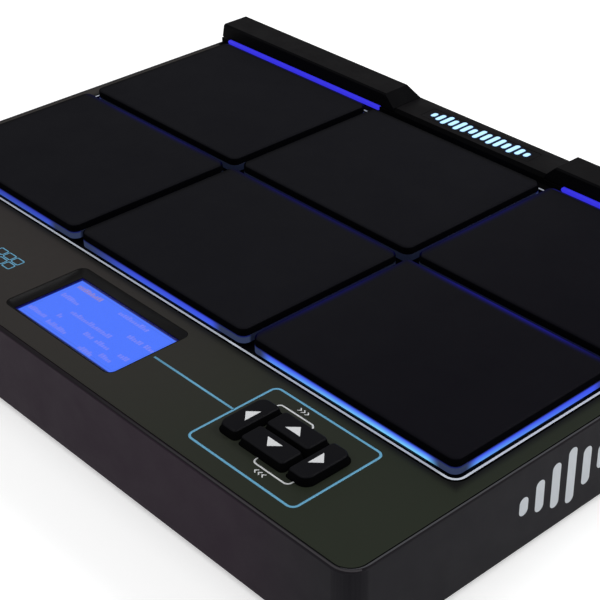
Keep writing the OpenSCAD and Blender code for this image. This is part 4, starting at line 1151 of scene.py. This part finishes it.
def socketBlades(look):
    mid, face = middle("usb_socket"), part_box("usb_socket")[1].y
    dx, dy, dz = metres(look["bladeAt"])
    for sx in (-1, 1):
        for sz in (-1, 1):
            blade = softBlock(metres(look["blade"]), look["bladeCorner"] * mm, 0)
            turn = Matrix.Rotation(0 if sz > 0 else math.pi, 4, "Y")
            yield blade, at(mid.x + sx * dx, face + dy, mid.z + sz * dz) @ turn


addPiece("squareSocketContacts", gather(socketBlades(contactLook)), "brass", "case", None, "socket_shell")
print("sockets done")

# generic marks over the sockets: arrows out and in, brackets, a power sign
wallLook = {"markZ": 29.6, "arrow": (2.6, 2.4), "arrowsOut": 2, "bracketZ": 32.6, "bracketEnd": 4,
            "bracketDrop": 1.4, "width": 0.45, "powerRing": (29.4, 2.0, 35, 325, 20),
            "powerStem": (29.6, 32.2), "inletHalf": 2.6, "inletZ": 29.4, "dashZ": 28.4, "dash": 1.2,
            "dashPitch": 2.0}


def arrowMarks(look):
    for i, x in enumerate(jackAt):
        turn = Matrix.Rotation(0 if i < look["arrowsOut"] else math.pi, 4, "Z")
        yield triangle(*look["arrow"], inkHeight), onBack @ at(-x, look["markZ"] * mm, 0) @ turn


addPiece("wallArrows", gather(arrowMarks(wallLook)), "inkWhite")


def wallBracket(first, last, look):
    left, right = -first / mm + look["bracketEnd"], -last / mm - look["bracketEnd"]
    high, low = look["bracketZ"], look["bracketZ"] - look["bracketDrop"]
    return [(left, low), (left, high), (right, high), (right, low)]


powerX = -middle("power_button").x / mm
lineFrom, lineTo = (-inletX / mm + end * wallLook["inletHalf"] for end in (-1, 1))
dashes = [lineFrom + i * wallLook["dashPitch"] for i in range(3)]
signs = [wallBracket(jackAt[0], jackAt[1], wallLook), wallBracket(jackAt[2], jackAt[4], wallLook)]
signs += [arc(powerX, *wallLook["powerRing"]), [(powerX, z) for z in wallLook["powerStem"]]]
signs += [[(x, wallLook["inletZ"]) for x in (lineFrom, lineTo)]]
signs += [[(x, wallLook["dashZ"]), (x + wallLook["dash"], wallLook["dashZ"])] for x in dashes]
addStrokes("wallSigns", signs, wallLook["width"], "inkWhite", onBack)
print("back wall done")


# underside: turned feet with grip rings, cross-head screws, bare label plate
footLook = {"side": 10, "steps": 56, "crease": 40,
            "profile": [(0, 0.5), (3.6, 0.5), (4.0, 0), (5.6, 0), (6.0, 0.5), (7.2, 0.5), (7.6, 0), (8.9, 0),
                        (9.6, 0.3), (10, 1.0)]}


def turnedFeet(look):
    for mid, size in lumps("rubber_feet"):
        tall = size.z / mm
        foot = lathe(look["profile"] + [(look["side"], tall), (0, tall)], look["steps"])
        yield foot, at(mid.x, mid.y, mid.z - size.z / 2)


addPiece("turnedFeet", gather(turnedFeet(footLook)), "footRubber", "case", "rubber_feet", "foot_rubber",
         footLook["crease"])

screwLook = {"head": 2.95, "headHeight": 1.6, "dome": 0.5, "span": 3.4, "arm": 0.95, "recess": 0.9,
             "shaft": 1.25, "steps": 24}


def crossScrew(look, length):  # head up, its top at z = 0
    bm = bmesh.new()
    bmesh.ops.create_grid(bm, x_segments=3, y_segments=3, size=1)
    for v in bm.verts:
        for i in (0, 1):
            inside = abs(v.co[i]) < 0.5  # the grid's inner lines are at a third
            reach = look["arm"] if inside else look["span"]
            v.co[i] = math.copysign(reach / 2 * mm, v.co[i])
    border = [e for e in bm.edges if e.is_boundary]
    cross = [f for f in bm.faces if min(abs(c) for c in f.calc_center_median().xy) < tiny]
    floor = newVerts(bmesh.ops.extrude_face_region(bm, geom=cross))
    bmesh.ops.translate(bm, verts=floor, vec=(0, 0, -look["recess"] * mm))
    inner = (look["head"] - look["dome"]) * mm
    ring = bmesh.ops.create_circle(bm, segments=look["steps"], radius=inner)["verts"]
    loop = list(dict.fromkeys(e for v in ring for e in v.link_edges))
    bmesh.ops.bridge_loops(bm, edges=[e for e in border if e.is_valid] + loop)
    under = -look["headHeight"]
    for radius, z in ((look["head"], -look["dome"]), (look["head"], under), (look["shaft"], under),
                      (look["shaft"], -length)):
        grown = bmesh.ops.extrude_edge_only(bm, edges=loop)["geom"]
        loop = [g for g in grown if isinstance(g, bmesh.types.BMEdge)]
        for v in {v for e in loop for v in e.verts}:
            v.co = Vector((v.co.x, v.co.y, 0)).normalized() * radius * mm + Vector((0, 0, z * mm))
    bmesh.ops.contextual_create(bm, geom=loop)
    bmesh.ops.recalc_face_normals(bm, faces=bm.faces)
    return bm


flip = Matrix.Rotation(math.pi, 4, "X")
screws = [(crossScrew(screwLook, size.z / mm), at(mid.x, mid.y, mid.z - size.z / 2) @ flip)
          for mid, size in lumps("case_screws")]
addPiece("baseScrews", gather(screws), "blackSteel", "case", "case_screws", "steel")

plateLook = {"size": (78, 34, 0.25), "corner": 3.0, "edge": 0.1, "middle": (0, -78)}
bm = softBlock(metres(plateLook["size"]), plateLook["corner"] * mm, plateLook["edge"] * mm)
bm.transform(at(*metres(plateLook["middle"]), baseUnder) @ flip)
addPiece("barePlate", bm, "labelGrey")
print("underside done")


# materials for the solids that show as they are
plainFinish = {"lcd_window": "windowClear", "lcd_module": "displayGlow", "control_board": "boardGreen",
               "main_board": "boardGreen", "led_boards": "boardBlack", "sensor_plate": "plateBlack",
               "piezo_discs": "brass", "stand_inserts": "brass", "plate_screws": "nickel",
               "board_screws": "nickel", "key_switches": "socketBlack", "ribbon_cable": "ribbonGrey",
               "power_switch": "socketBlack", "volume_pots": "nickel", "main_volume_shaft": "nickel",
               "phones_volume_shaft": "nickel"}
for node, obj in cad.items():
    obj.data.materials.clear()
    obj.data.materials.append(finish[plainFinish.get(node, "caseBlack")])


# floor: white to the camera, keeps the shadow, clear from below so the underside can be seen
floorLook = {"size": 40.0, "colour": (0.86, 0.86, 0.86, 1), "lift": 0.4, "rough": 0.9, "shine": 0.1}
white = (1, 1, 1, 1)


def makeFloor(look):
    material, tree, shader, coords = blankMaterial("floorPale")
    setSockets(shader, {"Base Color": look["colour"], "Roughness": look["rough"],
                        "Specular IOR Level": look["shine"], "Emission Color": white})
    path = tree.nodes.new("ShaderNodeLightPath").outputs
    mirrored = larger(tree, path["Is Glossy Ray"], path["Is Transmission Ray"])
    seen = larger(tree, path["Is Camera Ray"], mirrored)
    tree.links.new(times(tree, seen, look["lift"]), shader.inputs["Emission Strength"])
    side = tree.nodes.new("ShaderNodeNewGeometry")
    clear = tree.nodes.new("ShaderNodeBsdfTransparent")
    pick = tree.nodes.new("ShaderNodeMixShader")
    tree.links.new(side.outputs["Backfacing"], pick.inputs[0])
    tree.links.new(shader.outputs[0], pick.inputs[1])
    tree.links.new(clear.outputs[0], pick.inputs[2])
    tree.links.new(pick.outputs[0], tree.nodes["Material Output"].inputs["Surface"])
    bm = bmesh.new()
    bmesh.ops.create_grid(bm, x_segments=2, y_segments=2, size=look["size"] / 2)
    mesh = bpy.data.meshes.new("floor")
    bm.to_mesh(mesh)
    bm.free()
    mesh.materials.append(material)
    floor = bpy.data.objects.new("floor", mesh)
    scene.collection.objects.link(floor)
    return floor


floor = makeFloor(floorLook)

# a broad soft light overhead, a small soft box behind on the right for the rim,
# and low fills for the back wall and the underside that leave the floor out
lampLook = {"overhead": dict(kind="SUN", energy=1.35, angle=70, turn=(18, -14)),
            "softBox": dict(kind="AREA", energy=9.5, size=(0.45, 0.45), place=(0.848, 0.906, 1.008)),
            "backFill": dict(kind="AREA", energy=6.0, size=(1.6, 0.5), place=(0.0, 1.9, 0.22), fill=True),
            "underFill": dict(kind="AREA", energy=9.0, size=(1.0, 1.0), place=(0.0, 0.0, -1.2), fill=True)}
leftOut = bpy.data.collections.new("leftOut")
leftOut.objects.link(floor)
leftOut.collection_objects[0].light_linking.link_state = "EXCLUDE"


def makeLamp(name, look):
    data = bpy.data.lights.new(name, look["kind"])
    data.energy = look["energy"]
    lamp = bpy.data.objects.new(name, data)
    scene.collection.objects.link(lamp)
    if look["kind"] == "SUN":
        data.angle = math.radians(look["angle"])
        lamp.rotation_euler = tuple(math.radians(a) for a in look["turn"]) + (0,)
    else:
        data.shape = "RECTANGLE"
        data.size, data.size_y = look["size"]
        lamp.location = look["place"]
        lamp.rotation_euler = Vector(look["place"]).to_track_quat("Z", "Y").to_euler()
    if look.get("fill"):
        lamp.visible_camera = lamp.visible_glossy = False
        lamp.light_linking.receiver_collection = leftOut
        lamp.light_linking.blocker_collection = leftOut


for name, look in lampLook.items():
    makeLamp(name, look)
worldLook = {"Color": white, "Strength": 0.3}
world = bpy.data.worlds.new("studio")
scene.world = world
world.use_nodes = True
setSockets(world.node_tree.nodes["Background"], worldLook)
scene.view_settings.view_transform = "Standard"
print("floor and light set")
